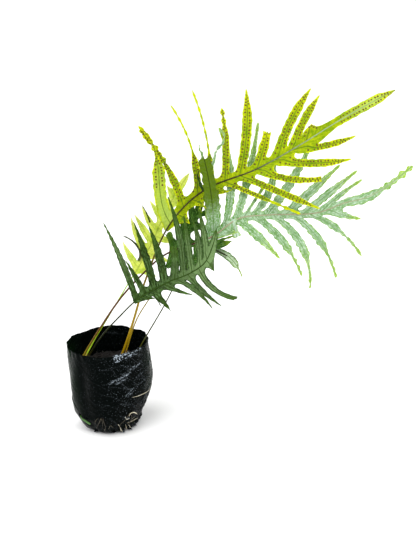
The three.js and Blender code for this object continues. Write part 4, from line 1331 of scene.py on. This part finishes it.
# After its tones, each finish says how much light passes through the leaf and how rough its surface is
LEAF_FINISHES = {
    "fertile": leaf_finish("lime_fern_leaf", tones(
        "f0f707", "cddc04", "a2b506", "7a9e09", "d2da08", "cad81c", "68820f", "4c6e1c", "868208", "c4de6c",
        0.25, 0.1, 0.45,
    ), 0.25, 0.5),
    "blue": leaf_finish("glaucous_fern_leaf", tones(
        "a2c808", "8eb81e", "8ab07a", "4e8a14", "b0d010", "cfe2d0", "66964c", "70905c", "546e08", "cadecb",
        0.7, 0.4, 0.75,
    ), 0.2, 0.6),
    "pale": leaf_finish("pale_fern_leaf", tones(
        "cbde42", "e5ee77", "e1ea6a", "bbd339", "f6f4a3", "f2f4aa", "b5c948", "c1cf5c", "3e4b2a", "f4f4a3",
        0.35, 0.2, 0.35,
    ), 0.45, 0.55),
    "dark": leaf_finish("dark_fern_leaf", tones(
        "234406", "22390a", "26390f", "0f1d03", "3c5a0a", "5c7c48", "304c14", "2f4713", "3c3d0a", "809e66",
        0.3, 0.2, 0.8,
    ), 0.08, 0.65),
    "hidden": leaf_finish("green_fern_leaf", tones(
        "38710a", "315e12", "2b5213", "173508", "64891e", "618941", "40611d", "386213", "534f09", "99ba79",
        0.35, 0.25, 0.8,
    ), 0.15, 0.6),
    "small": leaf_finish("mid_green_fern_leaf", tones(
        "498214", "3a6516", "396022", "1c450b", "acc81c", "7ca259", "49732c", "587c29", "55510a", "c6dcb8",
        0.4, 0.3, 0.7,
    ), 0.15, 0.6),
}

# %% [markdown]
# ### Stipes
# Stipes are wiry and polished, each with its own colour, which runs from its scaly foot to its top. Their
# skin is hard and smooth, so they keep a thin soft highlight, with a fine grain in it.

# %% Stipe finish
def stipe_finish(name, foot, low, high, top_height, bend=0.35):
    finish, shader = new_finish(name)
    place = node(finish, "TexCoord")
    split = node(finish, "SeparateXYZ", {0: (place, "Object")})
    streaks = node(finish, "TexNoise", {"Vector": (place, "Object"), "Scale": every(5.556), "Detail": 4.0})
    shift = node(finish, "MapRange", {"Value": (streaks, 0), 3: -0.02, 4: 0.02})
    height = node(finish, "Math", {0: (split, "Z"), 1: (shift, 0)}, operation="ADD")
    rise = node(finish, "MapRange", {"Value": (height, 0), 1: 0.1, 2: top_height})
    tone = node(finish, "ValToRGB", {0: (rise, 0)}, stops=((0.0, foot), (bend, low), (1.0, high)))
    wire(finish, tone, 0, shader, "Base Color")
    shader.inputs["Roughness"].default_value = 0.35
    shader.inputs["Specular IOR Level"].default_value = 0.2
    bump = node(finish, "Bump", {"Height": (streaks, 0), "Strength": 0.25, "Distance": 0.0003})
    wire(finish, bump, 0, shader, "Normal")
    return finish


STIPE_FINISHES = {
    "fertile": stipe_finish("olive_gold_stipe", "a88608", "967a08", "3d3c0c", 0.34),
    "blue": stipe_finish("red_brown_stipe", "a8962c", "5c3c0c", "42200a", 0.3),
    "pale": stipe_finish("light_green_stipe", "a4c424", "94bc20", "84a822", 0.25),
    "dark": stipe_finish("near_black_stipe", "4c4a14", "161a08", "2c3410", 0.24),
    "hidden": stipe_finish("gold_stipe", "a88c10", "90780c", "5c5a14", 0.26),
    "small": stipe_finish("dark_olive_stipe", "64621a", "33380f", "2a3812", 0.26),
}
RACHIS_FINISHES = {
    "fertile": stipe_finish("brown_rachis", "6c7a20", "342808", "94a87c", 0.47, 0.84),
    "blue": stipe_finish("pinkish_rachis", "5c3014", "7e5a48", "a0a484", 0.36, 0.75),
}
SLOTS = {
    "fertile": ("stipe_gold", "leaf_lime"), "blue": ("stipe_brown", "leaf_blue"),
    "pale": ("stipe_green", "leaf_pale"),
    "dark": ("stipe_dark", "leaf_dark"), "hidden": ("stipe_gold", "leaf_green"),
    "small": ("stipe_dark", "leaf_green"),
}

# %% Stipes and blades
leaves = {}
for name, frond in FRONDS.items():
    foot, top = frond["stipe"]
    path, end = frond["path"], frond["blade"][0]
    runs = np.linspace(0.4, end, 70)
    radii = [mix(foot, top, ease(d / end)) * (1 + 0.03 * math.sin(d / 5)) for d in runs]
    stipe = rod(f"frond_{name}_stalk", [path.point(d) for d in runs], radii, 10)
    hand_over(stipe, SLOTS[name][0], STIPE_FINISHES[name], f"frond_{name}_stipe")
    leaves[name], sheet, rachis = build_blade(name, frond)
    hand_over(sheet, SLOTS[name][1], LEAF_FINISHES[name], f"frond_{name}_blade")
    rachis.name = f"frond_{name}_rachis"
    hand_over(rachis, SLOTS[name][1], RACHIS_FINISHES.get(name, LEAF_FINISHES[name]))

# %% Stipe feet
foot_scales = []
for name, frond in FRONDS.items():
    foot = frond["stipe"][0]
    foot_scales += scales_round(frond["path"], 2, 22, 3.2, lambda d, r=foot: r, 1.5)
feet = copies_of(scale, "stipe_foot_scales", foot_scales)
modify(feet, "SOLIDIFY", thickness=0.0002, offset=0)
drop(scale)
hand_over(feet, "rhizome", papery)

# %% [markdown]
# ## Spore heaps
# The fertile frond shows its underside, with two rows of rust-brown heaps on each lobe, one in each side
# vein's fork. One heap is half a squashed sphere, and copies of it sit on the leaf.

# %% Spore heaps
bpy.ops.object.select_all(action="DESELECT")
bpy.ops.mesh.primitive_uv_sphere_add(segments=8, ring_count=4, radius=1)
heap = bpy.context.object
for vertex in heap.data.vertices:
    vertex.co.z = max(vertex.co.z, -0.2) * 0.6
heaps = []


def on_row(row, columns, k):
    """A point on a row of the leaf, between two of its columns."""
    return np.array([np.interp(k, columns, row[:, axis]) for axis in range(3)])


def set_heaps(rows, runs, halves, side, first_run):
    columns = COLUMNS if side else [-q for q in reversed(WING_ROWS)] + list(WING_ROWS)
    for k in (-0.48, 0.48):
        run = first_run + 1.6 * (k > 0)
        while run < runs[-1] - 3:
            i = min(int(np.searchsorted(runs, run)), len(rows) - 2)
            if 2.2 < halves[i] < 14:
                point = on_row(rows[i], columns, k)
                ahead = unit(on_row(rows[i + 1], columns, k) - point)
                aside = unit(on_row(rows[i], columns, k + 0.1) - point)
                normal = unit(np.cross(aside, ahead)) * (side if side else -1)
                size = random.uniform(1.3, 1.6) * min(1, halves[i] / 4.5)
                heaps.append((point + normal * 0.35, (ahead, np.cross(normal, ahead), normal), (size,) * 3))
            run += 5.6 + random.uniform(-0.3, 0.3)


for number, (rows, runs, halves, side) in enumerate(leaves["fertile"].sites):
    set_heaps(rows, runs, halves, side, 60 if number == 0 else 8)
heap_copies = copies_of(heap, "frond_fertile_spore_heaps", heaps)
drop(heap)
# Ripe fern spores, packed in heaps: rust brown, dry and grainy
rust, shader = new_finish("ripe_spore_heaps")
place = node(rust, "TexCoord")
grains = node(rust, "TexNoise", {"Vector": (place, "Object"), "Scale": every(1.111), "Detail": 2.0})
tone = node(rust, "ValToRGB", {0: (grains, 0)}, stops=((0.3, "3c2407"), (0.55, "64420c"), (0.8, "8f6a18")))
wire(rust, tone, 0, shader, "Base Color")
shader.inputs["Roughness"].default_value = 0.85
bump = node(rust, "Bump", {"Height": (grains, 0), "Strength": 0.7, "Distance": 0.0004})
wire(rust, bump, 0, shader, "Normal")
hand_over(heap_copies, "leaf_lime", rust)
print("spore heaps:", len(heaps))

# %% [markdown]
# ## Curled and broken bits
# A grown fern is never tidy. Some lobes are curled, folded or torn, and they fill the middle of the plant.
# Each is a narrow ribbon along a short route, with its width at each end, and it may twist as it goes. It is
# made of rows of points as a lobe is, so that the leaf finishes fit it.

# %% Leaf bits
BITS = [
    ("curl", "blue", [(220, -30, 346), (223, -36, 336), (226, -40, 327),
    (227, -38, 319)], 16, 10, 40, 2.2, {"pale": (-1, 1)}),
    ("flap", "small", [(185, 34, 287), (197, 30, 295), (211, 24, 301), (225, 18, 306)], 7, 2, 60, 0.6, {}),
    ("hook", "fertile", [(173, -34, 363), (172, -36, 370), (174, -40, 376), (179, -43, 376), (183, -44, 371)],
     6, 2, 90, 0.5, {}),
    ("lower_thread", "dark", [(86, -70, 245), (91, -66, 236), (97, -60, 221)], 2.4, 1, 20, 0.2, {}),
    ("upper_thread", "dark", [(86, 84, 323), (82, 78, 341), (76, 72, 357)], 3.5, 1, 20, 0.2, {"pale": (0, 1)}),
    ("strand", "blue", [(193, -32, 429), (200, -30, 443), (204, -28, 455), (208, -26, 463), (217, -24, 472),
     (220, -20, 483), (214, -16, 493)], 6, 4, 240, 0.8, {"pale": (-1, 1)}),
    ("crumple", "blue", [(183, -18, 443), (183, -16, 454), (180, -14, 461),
    (180, -12, 468)], 6, 2, 120, 1.2, {"pale": (-1, 0.8)}),
    ("edge", "dark", [(180, -14, 395), (176, -10, 405), (174, -6, 417), (178, -4, 429)], 5, 3, 30, 0.3, {}),
    ("loop", "fertile", [(201, -12, 396), (207, -16, 393), (218, -18, 391), (229, -14, 394), (236, -10, 399)],
     3, 2, 80, 0.4, {}),
]


def leaf_bit(name, kind, route, first_width, last_width, twist, ripple, end):
    leaf, path = Leaf(), Spine(route, (0.5, 0.3, 0.8))
    tint, phase, record = random.random(), random.uniform(0, 6), []
    for i in range(25):
        share = i / 24
        base, _, across, out = path.at(share * path.length)
        turn = math.radians(twist * (share - 0.3))
        flat = across * math.cos(turn) + out * math.sin(turn)
        up = out * math.cos(turn) - across * math.sin(turn)
        width = mix(first_width, last_width, share) * math.sqrt(min(1, (1.02 - share) * 8))
        half = 0.5 * width * swell(share * path.length, phase, 0.25)
        columns = (-1, -0.6, 0, 0.6, 1)
        waves = [ripple * math.sin(share * path.length / 1.4 + phase + (k > 0)) * k * k for k in columns]
        row = [base + flat * half * k + up * (wave + 0.25 * half * abs(k)) for k, wave in zip(columns, waves)]
        edges, ribs = [half * (1 - abs(k)) for k in columns], [half * abs(k) for k in columns]
        facts = (share * path.length, share, tint, fade(end, "aged", share), fade(end, "pale", share), LAMINA)
        record.append(leaf.row(row, (edges, ribs, *[[value] * len(columns) for value in facts])))
    for inner, outer in zip(record, record[1:]):
        leaf.strip(inner, outer, 1)
    piece = mesh_piece(f"leaf_bit_{name}", leaf.points, leaf.faces)
    for fact in FACTS[:-1]:
        remember(piece, fact, leaf.facts[fact])
    modify(piece, "SOLIDIFY", thickness=2 * LAMINA * MM, offset=0)
    hand_over(piece, SLOTS[kind][1], LEAF_FINISHES[kind])


for bit in BITS:
    leaf_bit(*bit)
stub = Spine([(189, 36, 279), (198, 30, 277), (210, 24, 271)], (0, 0, 1))
runs = np.linspace(0, stub.length, 12)
stub_rod = rod("broken_stipe", [stub.point(d) for d in runs], [1.3 + 0.2 * math.sin(d) for d in runs], 8)
hand_over(stub_rod, "stipe_dark", STIPE_FINISHES["dark"])
